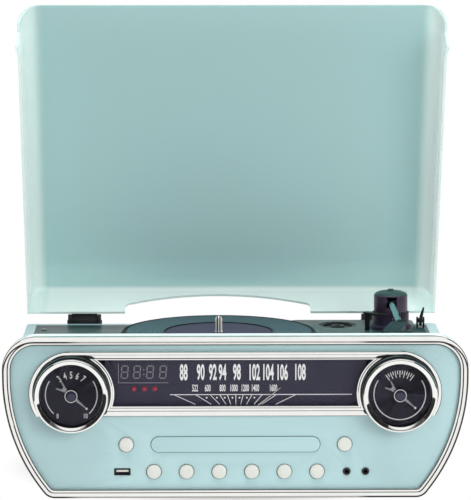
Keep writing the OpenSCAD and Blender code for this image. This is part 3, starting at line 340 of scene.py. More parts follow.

# %% [markdown]
# ## The mat's rubber
# Dark teal rubber lies round a smooth middle with a purple cast. Black rims round both are painted
# shade, where the mat's raised edge and the step to its middle cast a dark line. Rings about the
# spindle are masks by the distance from its axis, which needs no cut in the mesh.

# %% Mat rubber
MAT_MIDDLE, MAT_RIM_R, MIDDLE_RIM = (53.0, 52.5), 91.5, (52.0, 54.5)
f = Finish("mat rubber", Specular_IOR_Level=0.14)
flat = f.node("ShaderNodeVectorMath", {"operation": "MULTIPLY"},
              {0: f.drawn(*SPINDLE), 1: (1, 1, 0)})
radius = f.length(flat)
# Painted shade: black rings at the mat's outer edge and round its middle.
shade_rims = (radius > MAT_RIM_R) + (radius > MIDDLE_RIM[0]) * (radius < MIDDLE_RIM[1])
whole = f.blend(f.between(radius, *MAT_MIDDLE), f.mottle(25, 4, (62, 84, 90), (70, 92, 98)),
                (64, 62, 80))
f.feed("Base Color", f.blend(shade_rims, whole, (12, 14, 16)))
f.feed("Roughness", 0.55 - shade_rims * 0.1)
f.relief(0.5, 0.05, 0.6)

# %% [markdown]
# ## The line along the chrome ring
# The ring's widest line is a painted dark reflection: black round the corners and down the sides,
# and grey along the middle of the top and bottom. It is one strip, so the grey middle is a mask
# across.

# %% Ring line
GREY_MIDDLE_LEFT, GREY_MIDDLE_RIGHT = (-160, -140), (125, 110)
f = Finish("ring line", Specular_IOR_Level=0.5)
across = f.along("X")
# Painted reflection: the line goes from black at the ends to grey in the middle.
grey_middle = f.between(across, *GREY_MIDDLE_LEFT) * f.between(across, *GREY_MIDDLE_RIGHT)
f.feed("Base Color", f.blend(grey_middle, (24, 22, 21), f.mottle(12, 3, (150, 147, 142), (176, 173, 168))))
f.feed("Roughness", f.uneven(3, 2, 0.2, 0.35))

# %% [markdown]
# ## The arm's cap and its cartridge
# The cap has purple-black sides under a teal top. The cartridge has a dark body with a red carrier
# for the stylus under it. Both change colour at one height.

# %% Cap and cartridge plastic
CAP_TOP, CARRIER_TOP = (153.0, 153.7), (134.2, 134.0)
f = Finish("cap plastic", Specular_IOR_Level=0.3)
f.feed("Base Color", f.blend(f.between(f.along("Z"), *CAP_TOP),
                             f.mottle(9, 3, (58, 47, 64), (70, 56, 76)),
                             f.mottle(14, 3, (44, 68, 68), (52, 78, 77))))
f.feed("Roughness", f.uneven(3, 3, 0.12, 0.26))
f.relief(0.6, 0.012, 0.5)

f = Finish("cartridge plastic", Specular_IOR_Level=0.3)
f.feed("Base Color", f.blend(f.between(f.along("Z"), *CARRIER_TOP),
                             f.mottle(6, 3, (30, 44, 46), (36, 52, 54)), (150, 32, 30)))
f.feed("Roughness", f.uneven(3, 2, 0.1, 0.35))

# %% [markdown]
# ## Chrome of the knobs
# The knob's ring is chrome in front. Its skirt and the foot of its funnel are painted black, a
# painted shade for the dark well round the knob. A dark lining could be a piece of its own; one
# mask by depth makes it part of the same turned ring.

# %% Knob chrome
SKIRT_SHADE = (-13.7, -13.1)
f = Finish("knob chrome", Specular_IOR_Level=0.1)
# Painted shade: the ring turns black and dull behind this depth.
skirt = f.between(f.along("Y"), *SKIRT_SHADE)
bright = f.mottle(30, 3, (250, 250, 247), (240, 240, 238))
f.feed("Base Color", f.blend(skirt, bright, (22, 22, 23)))
f.feed("Roughness", f.uneven(6, 3, 0.06, 0.04) + skirt * 0.7)
f.feed("Metallic", 1 - skirt)

# %% [markdown]
# ## Deck and spindle
# The deck's black plastic is coloured dark teal, a painted reflection of the teal lid above it,
# with the two small ears that hold the lift lever in black. The spindle's polished steel mirrors a
# dark band to each side of its middle; that needs a dark room around it, so the two bands are laid
# into its colour instead.

# %% Deck plastic and spindle steel
EARS_X, EARS_Z = 188.8, 114.3
f = Finish("deck plastic", Specular_IOR_Level=0.3)
ears = (f.along("X") > EARS_X) * (f.along("Z") > EARS_Z)
# Painted reflection: the deck's dark teal is the lid mirrored in black plastic.
f.feed("Base Color", f.blend(ears, f.mottle(40, 3, (42, 64, 66), (46, 69, 70)), (14, 15, 16)))
f.feed("Roughness", f.uneven(4, 3, 0.1, 0.26) + ears * 0.3)

BAND_INSIDE, BAND_OUTSIDE = (0.4, 0.8), (2.1, 1.6)
f = Finish("pin steel", Metallic=0.35)
aside = abs(f.along("X") - SPINDLE[0])
band = f.between(aside, *BAND_INSIDE) * f.between(aside, *BAND_OUTSIDE)
polished = f.mottle(20, 3, (252, 250, 246), (244, 240, 232))
f.feed("Base Color", f.blend(band, polished, (46, 34, 32)))
f.feed("Roughness", f.uneven(1.2, 3, 0.06, 0.1, (1, 1, 6)))

# %% [markdown]
# ## Clear sheets and red lamps
# The dial's window and the knobs' lenses are thin and clear: see-through head on, mirror-like at a
# glancing angle. Refraction would be slower and export badly, so alpha follows the glance. The
# lamps are red caps that glow faintly.

# %% Dial glass, lens and lamp
def clear(name, colour, low, high):
    f = Finish(name, colour, Specular_IOR_Level=0.6)
    glance = f.node("ShaderNodeLayerWeight", None, {"Blend": 0.35}, "Fresnel")
    f.feed("Roughness", f.uneven(20, 2, 0.03, 0.03))
    f.feed("Alpha", glance * (high - low) + low)


clear("dial glass", (30, 29, 38), 0.02, 0.3)
clear("lens", (24, 24, 30), 0.05, 0.6)

f = Finish("lamp red", Roughness=0.25, Coat_Weight=0.4, Emission_Strength=0.1)
glow = f.mottle(1.5, 2, (156, 36, 62), (138, 30, 56))
f.feed("Base Color", glow)
f.feed("Emission Color", glow)

# %% [markdown]
# ## Modelling helpers
# Most pieces here are one of three kinds: a profile turned about an axis, a flat shape stepped in
# and out by insets, or a CAD solid whose edges want a small bevel. A helper for each keeps the
# pieces short. A finished mesh always ends at the origin, unturned, with its place in its mesh.

# %% Finish a mesh as a piece
MERGE = 0.002


def settle(name, bm, body, finish, stands_for=None, smooth=35, opened=False):
    """Turns a bmesh drawn in millimetres into a piece of the frame that rides on its body."""
    bmesh.ops.remove_doubles(bm, verts=bm.verts, dist=MERGE)
    bmesh.ops.recalc_face_normals(bm, faces=bm.faces)
    bm.transform(OPEN_LID @ INTO_FRAME if opened else INTO_FRAME)
    mesh = bpy.data.meshes.new(name)
    bm.to_mesh(mesh)
    bm.free()
    mesh.shade_smooth()
    mesh.set_sharp_from_angle(angle=math.radians(smooth))
    mesh.materials.append(finishes[finish])
    piece = bpy.data.objects.new(name, mesh)
    bpy.context.scene.collection.objects.link(piece)
    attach(piece, body)
    if stands_for:
        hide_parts(stands_for)
    print(f"{name}: {len(mesh.polygons)} faces")
    return piece


def only(kind, geom):
    """The vertices, edges or faces among what an operator gave back."""
    return [g for g in geom if isinstance(g, kind)]


def merge(bm, other):
    """Adds a second bmesh to the first."""
    mesh = bpy.data.meshes.new("joined")
    other.to_mesh(mesh)
    other.free()
    bm.from_mesh(mesh)
    bpy.data.meshes.remove(mesh)


def bevel(bm, geom, width, segments=2, affect="EDGES", clamp=False):
    bmesh.ops.bevel(bm, geom=geom, offset=width, offset_type="OFFSET", segments=segments,
                    profile=0.5, affect=affect, clamp_overlap=clamp, material=-1)


# %% Arcs, loops and insets
LOOP_MERGE = 0.1


def arc(bm, centre, radius, start, end, steps, depth=0.0):
    """One vertex spun about an axis that runs forward. Angles count from the right, upwards."""
    a = math.radians(start)
    first = bm.verts.new((centre[0] + radius * math.cos(a), depth,
                          centre[1] + radius * math.sin(a)))
    bmesh.ops.spin(bm, geom=[first], cent=(centre[0], depth, centre[1]), axis=(0, -1, 0),
                   angle=math.radians(end - start), steps=steps, use_duplicate=False)
    bm.verts.ensure_lookup_table()
    return [bm.verts[i] for i in range(len(bm.verts) - steps - 1, len(bm.verts))]


def close_loop(bm, chains):
    """Joins chains of vertices end to end and fills the loop with one face."""
    for chain, after in zip(chains, chains[1:] + chains[:1]):
        a, b = chain[-1], after[0]
        if (a.co - b.co).length > 0.001:
            bm.edges.new((a, b))
    bmesh.ops.remove_doubles(bm, verts=bm.verts, dist=LOOP_MERGE)
    return bmesh.ops.contextual_create(bm, geom=bm.edges)["faces"][0]


def inset(bm, face, inwards, out=0.0):
    """Draws a face inwards, and out along its normal, with a border of even width."""
    bmesh.ops.inset_region(bm, faces=[face], thickness=inwards, depth=out,
                           use_even_offset=True, use_boundary=True)


def face_front(face):
    face.normal_update()
    if face.normal.y > 0:
        face.normal_flip()


# %% Turned profiles and softened copies
def turned(profile, centre, upright=False, steps=96, rounding=0.0):
    """A profile of (radius, place along the axis) turned all the way round."""
    def place(r, t):
        return (centre[0] + r, centre[1], t) if upright else (centre[0] + r, t, centre[1])

    bm = bmesh.new()
    chain = [bm.verts.new(place(r, t)) for r, t in profile]
    for pair in zip(chain, chain[1:]):
        bm.edges.new(pair)
    if rounding:
        bevel(bm, chain[1:-1], rounding, 3, "VERTICES")
    bmesh.ops.spin(bm, geom=list(bm.verts) + list(bm.edges), cent=place(0, 0),
                   axis=(0, 0, 1) if upright else (0, 1, 0), angle=math.tau, steps=steps,
                   use_merge=True, use_duplicate=False)
    return bm


def softened(node, width, segments=2, sharp=50, dissolve=0.5):
    """A copy of a CAD node in drawing millimetres, merged, with its sharp edges bevelled."""
    bm = bmesh.new()
    bm.from_mesh(nodes[node].data)
    bm.transform(INTO_FRAME.inverted())
    bmesh.ops.remove_doubles(bm, verts=bm.verts, dist=MERGE)
    bmesh.ops.dissolve_limit(bm, angle_limit=math.radians(dissolve), verts=bm.verts,
                             edges=bm.edges)
    if width:
        edges = [e for e in bm.edges if len(e.link_faces) == 2
                 and e.calc_face_angle(0) > math.radians(sharp)]
        bevel(bm, edges, width, segments, clamp=True)
    return bm


# %% Print: bars, dots, arcs and numbers
PRINT = 0.12
TEXT_DEPTH = 0.01


def on_circle(centre, radius, turn):
    """A point on a circle. Its turn counts in degrees, clockwise from straight up."""
    a = math.radians(turn)
    return centre[0] + radius * math.sin(a), centre[1] + radius * math.cos(a)


def bar(bm, a, b, width, depth, thick=PRINT):
    """A thin bar from a to b, both (across, up), lying at a depth behind the ring's front."""
    a, b = Vector(a), Vector(b)
    along = b - a
    turn = Matrix.Rotation(-math.atan2(along.y, along.x), 4, "Y")
    middle = (a + b) / 2
    bmesh.ops.create_cube(bm, size=1, matrix=Matrix.Translation((middle.x, depth, middle.y))
                          @ turn @ Matrix.Diagonal((along.length, thick, width, 1)))


def disc(bm, centre, radius, depth, thick=PRINT, segments=16):
    bmesh.ops.create_cone(bm, cap_ends=True, segments=segments, radius1=radius,
                          radius2=radius * 0.94, depth=thick,
                          matrix=Matrix.Translation((centre[0], depth, centre[1]))
                          @ Matrix.Rotation(math.pi / 2, 4, "X"))


def ribbon_arc(bm, centre, radius, start, end, depth, width=0.95):
    """A printed arc: a short bar spun about the centre, clockwise from straight up."""
    edge = [bm.verts.new((centre[0], depth + s * PRINT / 2, centre[1] + radius + t * width / 2))
            for s, t in ((-1, -1), (-1, 1), (1, 1), (1, -1))]
    face = bmesh.ops.contextual_create(bm, geom=edge)["faces"]
    bmesh.ops.rotate(bm, verts=edge, cent=(centre[0], depth, centre[1]),
                     matrix=Matrix.Rotation(math.radians(start), 3, "Y"))
    bmesh.ops.spin(bm, geom=face, cent=(centre[0], depth, centre[1]), axis=(0, 1, 0),
                   angle=math.radians(end - start), steps=max(8, int(abs(end - start) / 4)),
                   use_duplicate=False)


def lettering(bm, words, centre, height, squeeze, depth, turn=0.0, bold=0.02):
    """Plain numbers as raised print: made a mesh first, and only then put in place."""
    curve = bpy.data.curves.new("print", "FONT")
    curve.body, curve.align_x, curve.align_y = words, "CENTER", "CENTER"
    curve.extrude, curve.offset, curve.resolution_u = TEXT_DEPTH, bold, 3
    holder = bpy.data.objects.new("print", curve)
    bpy.context.scene.collection.objects.link(holder)
    bpy.context.view_layer.update()
    ready = holder.evaluated_get(bpy.context.evaluated_depsgraph_get())
    mesh = bpy.data.meshes.new_from_object(ready)
    heights = [v.co.y for v in mesh.vertices]
    size = height / (max(heights) - min(heights))
    to_middle = Matrix.Translation((0, -(max(heights) + min(heights)) / 2, 0))
    mesh.transform(Matrix.Translation((centre[0], depth, centre[1]))
                   @ Matrix.Rotation(math.radians(turn), 4, "Y")
                   @ Matrix.Rotation(math.pi / 2, 4, "X")
                   @ Matrix.Diagonal((size * squeeze, size, PRINT / 2 / TEXT_DEPTH, 1)) @ to_middle)
    bm.from_mesh(mesh)
    bpy.data.objects.remove(holder)
    bpy.data.meshes.remove(mesh)
    bpy.data.curves.remove(curve)


print("modelling helpers ready")

# %% [markdown]
# ## The front's outline
# The face is a wide rounded shape: round upper corners, bulging sides that run in towards small
# lower corners. One half is three spun arcs, and the same arcs mirrored make the other.

# %% Outline of the face
SHOULDER_X, SHOULDER_Z, SHOULDER_R = 184.0, 127.5, 31.0
BULGE_X, BULGE_Z, BULGE_R, BULGE_TURN = 41.0, 120.0, 174.0, 128.4
FOOT_X, FOOT_Z, FOOT_R = 167.18, 20.0, 13.0


def face_outline(bm, depth, inwards=0.0, drop=0.0):
    """The face's outline as one face, drawn inwards, with its upper edge lowered by drop."""
    def half(side):
        start, end = 90 - side * 90, 90 - side * BULGE_TURN
        upper = arc(bm, (side * (SHOULDER_X + drop / 2), SHOULDER_Z - drop / 2),
                    SHOULDER_R - inwards - drop / 2, start, 90, 24, depth)
        bulge = arc(bm, (side * BULGE_X, BULGE_Z), BULGE_R - inwards, start, end, 32, depth)
        lower = arc(bm, (side * FOOT_X, FOOT_Z), FOOT_R - inwards, end, 90 - side * 180, 16, depth)
        return upper, bulge, lower

    upper, bulge, lower = half(1)
    upper_l, bulge_l, lower_l = half(-1)
    face = close_loop(bm, [upper_l, upper[::-1], bulge, lower, lower_l[::-1], bulge_l[::-1]])
    face_front(face)
    return face


# %% [markdown]
# ## Chrome trim ring
# A pressed and plated frame round the whole face, in two bands with a thin groove between them.
# It could be a profile swept along the outline, but insetting the outline step by step gives the
# same profile with mitred, evenly wide bands, and the rounded steps catch a line of light each.

# %% Trim ring
RING_EDGE_Y, RING_DEPTH = 2.0, 4.4
RING_STEPS = [(0.05, 0.9), (0.25, 0.6), (0.5, 0.42), (0.7, 0.08), (1.5, 0.0), (1.4, -0.1),
              (0.35, -0.25), (0.15, -0.9), (0.25, 0.1), (0.35, 0.35), (0.9, 0.15), (0.7, -0.1),
              (0.4, -0.4), (0.3, -1.6), (0.01, -0.74)]
bm = bmesh.new()
face = face_outline(bm, RING_EDGE_Y)
for inwards, out in RING_STEPS:
    inset(bm, face, inwards, out)
outer_rim = [e for e in bm.edges if e.is_boundary]
inner_rim = list(face.edges)
bmesh.ops.delete(bm, geom=[face], context="FACES_ONLY")
back = bmesh.ops.extrude_edge_only(bm, edges=outer_rim)["geom"]
bmesh.ops.translate(bm, vec=(0, RING_DEPTH, 0), verts=only(BMVert, back))
bmesh.ops.bridge_loops(bm, edges=inner_rim + only(BMEdge, back))
settle("trim_ring_chrome", bm, "cabinet", "chrome", "trim_ring", smooth=28)

# %% [markdown]
# ## Dark lines of the trim ring
# Thin dark lines run along the ring: where it meets the hood, in the groove between its bands and
# where the panel begins. The main one runs further in along the top than down the sides. They are
# painted shade and painted dark reflection, and give the chrome its hard edges from every side, so
# they are narrow closed strips.

# %% Dark lines: distance inwards, width, depth, drop of the upper edge, finish
LINE_THICK = 0.4
RING_LINES = {"ring_edge_line": (0.12, 0.4, 0.6, 0.0, "painted shade grey"),
              "ring_main_line": (0.4, 1.4, -0.05, 4.1, "ring line"),
              "ring_groove_line": (4.6, 0.7, 0.4, 0.0, "seam black"),
              "ring_panel_line": (7.15, 0.85, 0.75, 0.0, "painted shade green")}
# Painted shade and painted reflection: each line is a dark strip laid on the chrome.
for name, (inwards, width, depth, drop, finish) in RING_LINES.items():
    bm = bmesh.new()
    face = face_outline(bm, depth, inwards, drop)
    inset(bm, face, width)
    rim = [f for f in bm.faces if f != face and any(e.is_boundary for e in f.edges)]
    bmesh.ops.delete(bm, geom=[face], context="FACES")
    bmesh.ops.solidify(bm, geom=rim, thickness=LINE_THICK)
    settle(name, bm, "cabinet", finish)

# %% [markdown]
# ## Cabinet, front and bezel
# The moulded hood and body keep their CAD shape. Its curved sides are drawn there as short flats,
# so a merged copy is shaded smoothly across them and its real edges get a small bevel. The bezel
# round the knobs and the window is chrome again; rounded edges draw its bright and dark lines, and
# painted shade lines sharpen them.

# %% Cabinet, front panel, deck and bezel
settle("cabinet_body", softened("cabinet_shell", 0.5), "cabinet", "cabinet paint",
       "cabinet_shell", smooth=30)
settle("front_face", softened("front_panel", 0.25), "cabinet", "panel paint",
       "front_panel")
settle("deck_top", softened("deck_plate", 0.4), "cabinet", "deck plastic",
       "deck_plate")
settle("bezel_chrome", softened("dial_bezel", 0.45, 3), "cabinet", "chrome",
       "dial_bezel")

# %% [markdown]
# ## Grooves of the bezel
# A groove splits the bezel into a broad and a narrow band, and runs round both knobs. On chrome a
# groove shows as a black line of shade and dark reflection, so that line is painted on: straight
# bars and arcs about the knobs.

# %% Bezel grooves
BEZEL_FACE, GROOVE_TOP, GROOVE_LOW = -1.03, 138.6, 89.3
WELL_R, WELL_OPEN, OUTER_R, OUTER_ENDS = 35.75, 114, 39.15, (2, 122)
# Painted shade: the groove's black line is laid on, with no cut.
bm = bmesh.new()
for z, width in ((GROOVE_TOP, 0.8), (GROOVE_LOW, 0.5)):
    reach = KNOB_X - math.sqrt(WELL_R ** 2 - (z - KNOB_Z) ** 2)
    bar(bm, (-reach, z), (reach, z), width, BEZEL_FACE)
for side in (-1, 1):
    centre = (side * KNOB_X, KNOB_Z)
    ribbon_arc(bm, centre, WELL_R, -WELL_OPEN, WELL_OPEN, BEZEL_FACE, 0.9)
    ribbon_arc(bm, centre, OUTER_R, *sorted(side * a for a in OUTER_ENDS), BEZEL_FACE, 0.5)
settle("bezel_grooves", bm, "cabinet", "seam black")

# Painted shade: grey lines along the bezel's top and bottom edges.
EDGE_LINES = ((144.2, 0.45), (141.8, 0.35), (84.6, 0.5))
bm = bmesh.new()
for z, width in EDGE_LINES:
    bar(bm, (-KNOB_X, z), (KNOB_X, z), width, BEZEL_FACE)
settle("bezel_edge_lines", bm, "cabinet", "painted shade grey")

# %% [markdown]
# ## Knobs
# Each knob is a chrome ring with a clear lens over a fixed black face, and a hub that carries a
# pointer. The ring is turned from one profile: a straight wall, a rounded crown, and a funnel that
# leads the eye down to the lens.

# %% Profiles of a knob: radius and place behind the ring's front
CROWN = [(34.5, -2.5), (34.5, -13.9), (34.2, -15.0), (33.5, -15.8), (32.8, -16.0), (32.2, -15.8),
         (29.4, -13.9), (29.2, -12.4), (29.2, -2.5), (34.5, -2.5)]
HUB = [(0.0, -12.6), (4.9, -12.6), (5.1, -13.4), (5.8, -13.5), (6.4, -12.8), (6.4, -9.0),
       (3.0, -9.0), (3.0, 13.5), (0.0, 13.5)]
BOSS = [(0.0, -13.9), (2.2, -13.8), (3.9, -13.4), (4.8, -12.8), (4.8, -12.5), (0.0, -12.5)]
LENS = [(6.5, -11.6), (15, -11.9), (24, -11.5), (29.1, -10.9), (29.1, -9.9), (24, -10.4),
        (6.5, -10.5), (6.5, -11.6)]
POINTER = [(-1.5, 5.5), (-0.45, 19), (0.45, 19), (1.5, 5.5), (2.2, -8), (4.6, -14.5),
           (3.4, -15.2), (1.2, -10.5), (-1.2, -10.5), (-3.4, -15.2), (-4.6, -14.5), (-2.2, -8)]
POINTER_ANGLE, POINTER_Y, POINTER_RISE, POINTER_EDGE = 131.0, -8.9, 0.7, 0.25
TIP_REACH, TIP_R, TIP_Y, TIP_THICK = 18.6, 1.1, -9.8, 0.5


# %% Knob rings, hubs, pointers and lenses
def pointer(bm, centre):
    """A flat pointer with a chamfered top, turned to its place about the knob's axis."""
    corners = [bm.verts.new((centre[0] + x, POINTER_Y, centre[1] + z)) for x, z in POINTER]
    face = bmesh.ops.contextual_create(bm, geom=corners)["faces"][0]
    face_front(face)
    raised = bmesh.ops.extrude_face_region(bm, geom=[face])["geom"]
    bmesh.ops.translate(bm, vec=(0, -POINTER_RISE, 0), verts=only(BMVert, raised))
    bmesh.ops.inset_region(bm, faces=only(BMFace, raised), thickness=POINTER_EDGE,
                           depth=POINTER_EDGE, use_even_offset=True)
    bmesh.ops.rotate(bm, verts=bm.verts, cent=(centre[0], 0, centre[1]),
                     matrix=Matrix.Rotation(math.radians(POINTER_ANGLE), 3, "Y"))


def knob(name, lens, body, side):
    """All that turns with one knob. Its side is -1 on the left and 1 on the right."""
    centre = (side * KNOB_X, KNOB_Z)
    bm = turned(CROWN, centre, rounding=0.35)
    merge(bm, turned(HUB, centre, steps=48, rounding=0.3))
    settle(name + "_ring", bm, body, "knob chrome", name)
    bm = bmesh.new()
    pointer(bm, centre)
    settle(name + "_pointer", bm, body, "pointer grey")
    # Painted reflection: the hub's dome is dark blue in place of mirrored chrome.
    settle(name + "_boss", turned(BOSS, centre, steps=48), body, "boss reflection blue")
    bm = bmesh.new()
    disc(bm, on_circle(centre, TIP_REACH, POINTER_ANGLE), TIP_R, TIP_Y, TIP_THICK, 24)
    settle(name + "_tip", bm, body, "dial white")
    settle(lens + "_dome", turned(LENS, centre), body, "lens", lens)


knob("volume_knob", "volume_lens", "volume", -1)
knob("tuning_knob", "tuning_lens", "tuning", 1)

# %% [markdown]
# ## Faces of the knobs
# Behind each lens lies a black disc with thin white arcs. The places of words hold plain numbers
# on the left and a plain comb of ticks on the right.

# %% Black faces and their print
FACE = [(0, -6.0), (28.5, -6.0), (28.7, -5.8), (28.7, -4.5), (0, -4.5)]
LEFT, RIGHT = (-KNOB_X, KNOB_Z), (KNOB_X, KNOB_Z)
faces = turned(FACE, LEFT)
merge(faces, turned(FACE, RIGHT))
settle("knob_faces", faces, "cabinet", "dial black")

FACE_PRINT, ARC_R, ARC_FROM, ARC_TO = -6.1, 23.8, 57, 137
NUMBER_R, NUMBER_STEP, END_R, END_TURN = 18.6, 18, 23.4, 147
TICK_STEP, TICK_OUT, TICK_IN = 6, 22.2, (15.8, 18.8)
bm = bmesh.new()
ribbon_arc(bm, LEFT, ARC_R, -ARC_TO, -ARC_FROM, FACE_PRINT)
ribbon_arc(bm, LEFT, ARC_R, ARC_FROM, ARC_TO, FACE_PRINT)
ribbon_arc(bm, RIGHT, ARC_R, ARC_FROM, 360 - ARC_FROM, FACE_PRINT)
for i, number in enumerate("34567"):
    turn = (i - 2) * NUMBER_STEP
    lettering(bm, number, on_circle(LEFT, NUMBER_R, turn), 6.6, 0.62, FACE_PRINT, turn)
for number, turn in (("0", -END_TURN), ("10", END_TURN)):
    lettering(bm, number, on_circle(LEFT, END_R, turn), 4.6, 0.7, FACE_PRINT)
for i in range(-6, 7):
    turn = i * TICK_STEP
    bar(bm, on_circle(RIGHT, TICK_IN[i % 2], turn), on_circle(RIGHT, TICK_OUT, turn), 0.8,
        FACE_PRINT)
settle("knob_print", bm, "cabinet", "dial white")

# %% [markdown]
# ## Radio dial
# The dark scale behind the window carries tall narrow numbers for one band, small ones for the
# other, and a fan of lines that aims at the needle's axis. All of it is print: thin bars and
# numbers that stand a tenth of a millimetre off the sheet. The sheet's copy reaches a little
# further behind the bezel, so that no gap shows beside it.

# %% Dial scale
SHEET_END, SHEET_MORE = 121, 4.6
bm = softened("dial_scale", 0.0, dissolve=2)
for v in bm.verts:
    if abs(v.co.x) > SHEET_END:
        v.co.x += math.copysign(SHEET_MORE, v.co.x)
settle("dial_sheet", bm, "cabinet", "dial black", "dial_scale")

# %% Print of the dial
SCALE_Y = 7.9
TALL_Z, TALL_HEIGHT, SMALL_Z, SMALL_HEIGHT = 124.0, 15.6, 109.2, 6.6
TALL = {"88": -47.8, "90": -32.1, "92": -20.9, "94": -12.0, "98": 1.3, "102": 17.2, "104": 29.9,
        "106": 43.0, "108": 59.4}
SMALL = {"522": -37.3, "600": -25.6, "800": -11.9, "1000": -1.6, "1200": 8.8, "1400": 18.2,
         "1600": 34.9}
LINE_Z, LINE_ENDS, FAN_LOW, DOTS_Z = 103.0, (-60.6, 107.7), 93.8, 100.0
FAN = [(-57.0, -37.0), (-37.0, -22.3), (-23.5, -14.6), (-14.6, -8.7), (-7.5, -4.3), (0.3, 0.4),
       (7.2, 4.8), (15.4, 10.2), (24.8, 17.2), (37.9, 24.3), (56.1, 37.3)]
bm = bmesh.new()
for number, x in TALL.items():
    lettering(bm, number, (x, TALL_Z), TALL_HEIGHT, 0.36, SCALE_Y, bold=0.03)
for number, x in SMALL.items():
    lettering(bm, number, (x, SMALL_Z), SMALL_HEIGHT, 0.42, SCALE_Y)
bar(bm, (LINE_ENDS[0], LINE_Z), (LINE_ENDS[1], LINE_Z), 0.7, SCALE_Y)
for top, low in FAN:
    bar(bm, (top, LINE_Z), (low, FAN_LOW), 0.6, SCALE_Y)
for x in (-26.6, -17.2, -9.9, -2.8, 3.7, 10.5, 17.5):
    disc(bm, (x, DOTS_Z), 0.8, SCALE_Y)
settle("dial_print", bm, "cabinet", "dial white")

# %% [markdown]
# ## Clock display
# Four digits of seven bars each lie unlit and grey, framed by a thin line on two sides. Three red
# lamps sit below. Each digit leans a little, as such displays do.

# %% Display digits and their frame
DIGIT_X, COLON_X, COLON_UP = (-102.2, -90.8, -78.8, -66.8), -84.6, 2.2
DIGIT_LOW, DIGIT_HIGH, DIGIT_HALF, DIGIT_Y = 118.6, 130.0, 2.9, 7.6
LEAN, SEGMENT_GAP = 0.08, 0.6
MIDDLE = (DIGIT_LOW + DIGIT_HIGH) / 2


def segment(bm, x, a, b):
    """One bar of a digit at x, from a to b, leaning to the right."""
    a, b = ((x + across + (up - MIDDLE) * LEAN, up) for across, up in (a, b))
    bar(bm, a, b, 1.0, DIGIT_Y)


bm = bmesh.new()
for x in DIGIT_X:
    for z in (DIGIT_LOW, MIDDLE, DIGIT_HIGH):
        segment(bm, x, (SEGMENT_GAP - DIGIT_HALF, z), (DIGIT_HALF - SEGMENT_GAP, z))
    for edge in (-DIGIT_HALF, DIGIT_HALF):
        for low, high in ((DIGIT_LOW, MIDDLE), (MIDDLE, DIGIT_HIGH)):
            segment(bm, x, (edge, low + SEGMENT_GAP), (edge, high - SEGMENT_GAP))
for z in (MIDDLE - COLON_UP, MIDDLE + COLON_UP):
    disc(bm, (COLON_X, z), 0.6, DIGIT_Y)
settle("display_digits", bm, "cabinet", "dial grey")

bm = bmesh.new()
bar(bm, (-108.0, 113.9), (-108.0, 132.4), 0.6, SCALE_Y)
bar(bm, (-108.2, 114.2), (-61.9, 114.2), 0.6, SCALE_Y)
settle("display_frame", bm, "cabinet", "dial grey")

# %% Lamps
LAMP_X, LAMP_Z = (-93.9, -84.1, -74.5), 108.5
LAMP = [(0, 7.05), (1.6, 7.1), (2.3, 7.5), (2.5, 8.3), (0, 8.3)]
bm = bmesh.new()
for x in LAMP_X:
    merge(bm, turned(LAMP, (x, LAMP_Z), steps=24))
settle("display_lamps", bm, "cabinet", "lamp red")

# %% [markdown]
# ## Push buttons, gaps and the bus socket
# The buttons are ivory caps with a soft crown and a rounded rim, turned from one profile that ends
# in the flange behind the panel. Each sits in a hole that is a little wider, and so does the
# tray's door. The shade in each gap is painted as a fine dark line, drawn here by thin rings at the
# panel's face. The bus socket is a metal mouth with a pale tongue in its upper half; its shell and
# a black sheet deep inside are painted shade.

# %% Buttons and the painted shade of their gaps
CAP = [(0, 0.75), (3, 0.8), (5.2, 1.0), (6.2, 1.4), (6.65, 2.1), (6.65, 6.3), (8.0, 6.3),
       (8.0, 7.3), (2.2, 7.3), (2.2, 12.0), (0, 12.0)]
GAP_SHADE_R, GAP_SHADE_WIDTH, GAP_SHADE_Y, FULL_TURN = 7.0, 0.5, PANEL_Y + 0.02, 359.9


def middle_of(node):
    """Where the middle of a CAD node lies, across and up."""
    low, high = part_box(node)
    return (low.x + high.x) / 2 / MM, (low.z + high.z) / 2 / MM


gap_shade = bmesh.new()
for number in range(1, 9):
    button = f"button_{number}"
    centre = middle_of(button)
    settle(button + "_cap", turned(CAP, centre, steps=64), button, "ivory", button)
    # Painted shade: a thin dark ring for the gap round each button.
    ribbon_arc(gap_shade, centre, GAP_SHADE_R, 0, FULL_TURN, GAP_SHADE_Y, GAP_SHADE_WIDTH)
settle("button_gap_shade", gap_shade, "cabinet", "painted shade green")

# %% Line round the tray's door
DOOR_GAP, TOP_LINE = 0.32, 0.4
low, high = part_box("tray_door")
DOOR_HALF, DOOR_R = (high.x - low.x) / 2 / MM, (high.z - low.z) / 2 / MM
DOOR_Z = middle_of("tray_door")[1]
# Painted shade: the dark line of the gap round the tray's door.
bm = bmesh.new()
for side in (-1, 1):
    end, edge = DOOR_HALF - DOOR_R, DOOR_Z + side * (DOOR_R + DOOR_GAP)
    ribbon_arc(bm, (side * end, DOOR_Z), DOOR_R + DOOR_GAP, *sorted((0, side * 180)), GAP_SHADE_Y,
               GAP_SHADE_WIDTH)
    bar(bm, (-end, edge), (end, edge), GAP_SHADE_WIDTH if side < 0 else TOP_LINE, GAP_SHADE_Y)
settle("door_line", bm, "cabinet", "painted shade green")

# %% Bus socket
TONGUE_LEFT, TONGUE_RIGHT, TONGUE_UP, TONGUE_THICK = -5.6, 5.9, 0.75, 1.9
TONGUE_LONG, MOUTH_HALF, MOUTH_HIGH, MOUTH_DEPTH = 1.4, 6.2, 5.0, 4.0
USB_X, USB_Z = middle_of("usb_socket")
bm = bmesh.new()
bar(bm, (USB_X + TONGUE_LEFT, USB_Z + TONGUE_UP), (USB_X + TONGUE_RIGHT, USB_Z + TONGUE_UP),
    TONGUE_THICK, PANEL_Y + TONGUE_LONG, TONGUE_LONG)
bevel(bm, list(bm.edges), 0.15)
settle("usb_tongue", bm, "cabinet", "ivory")
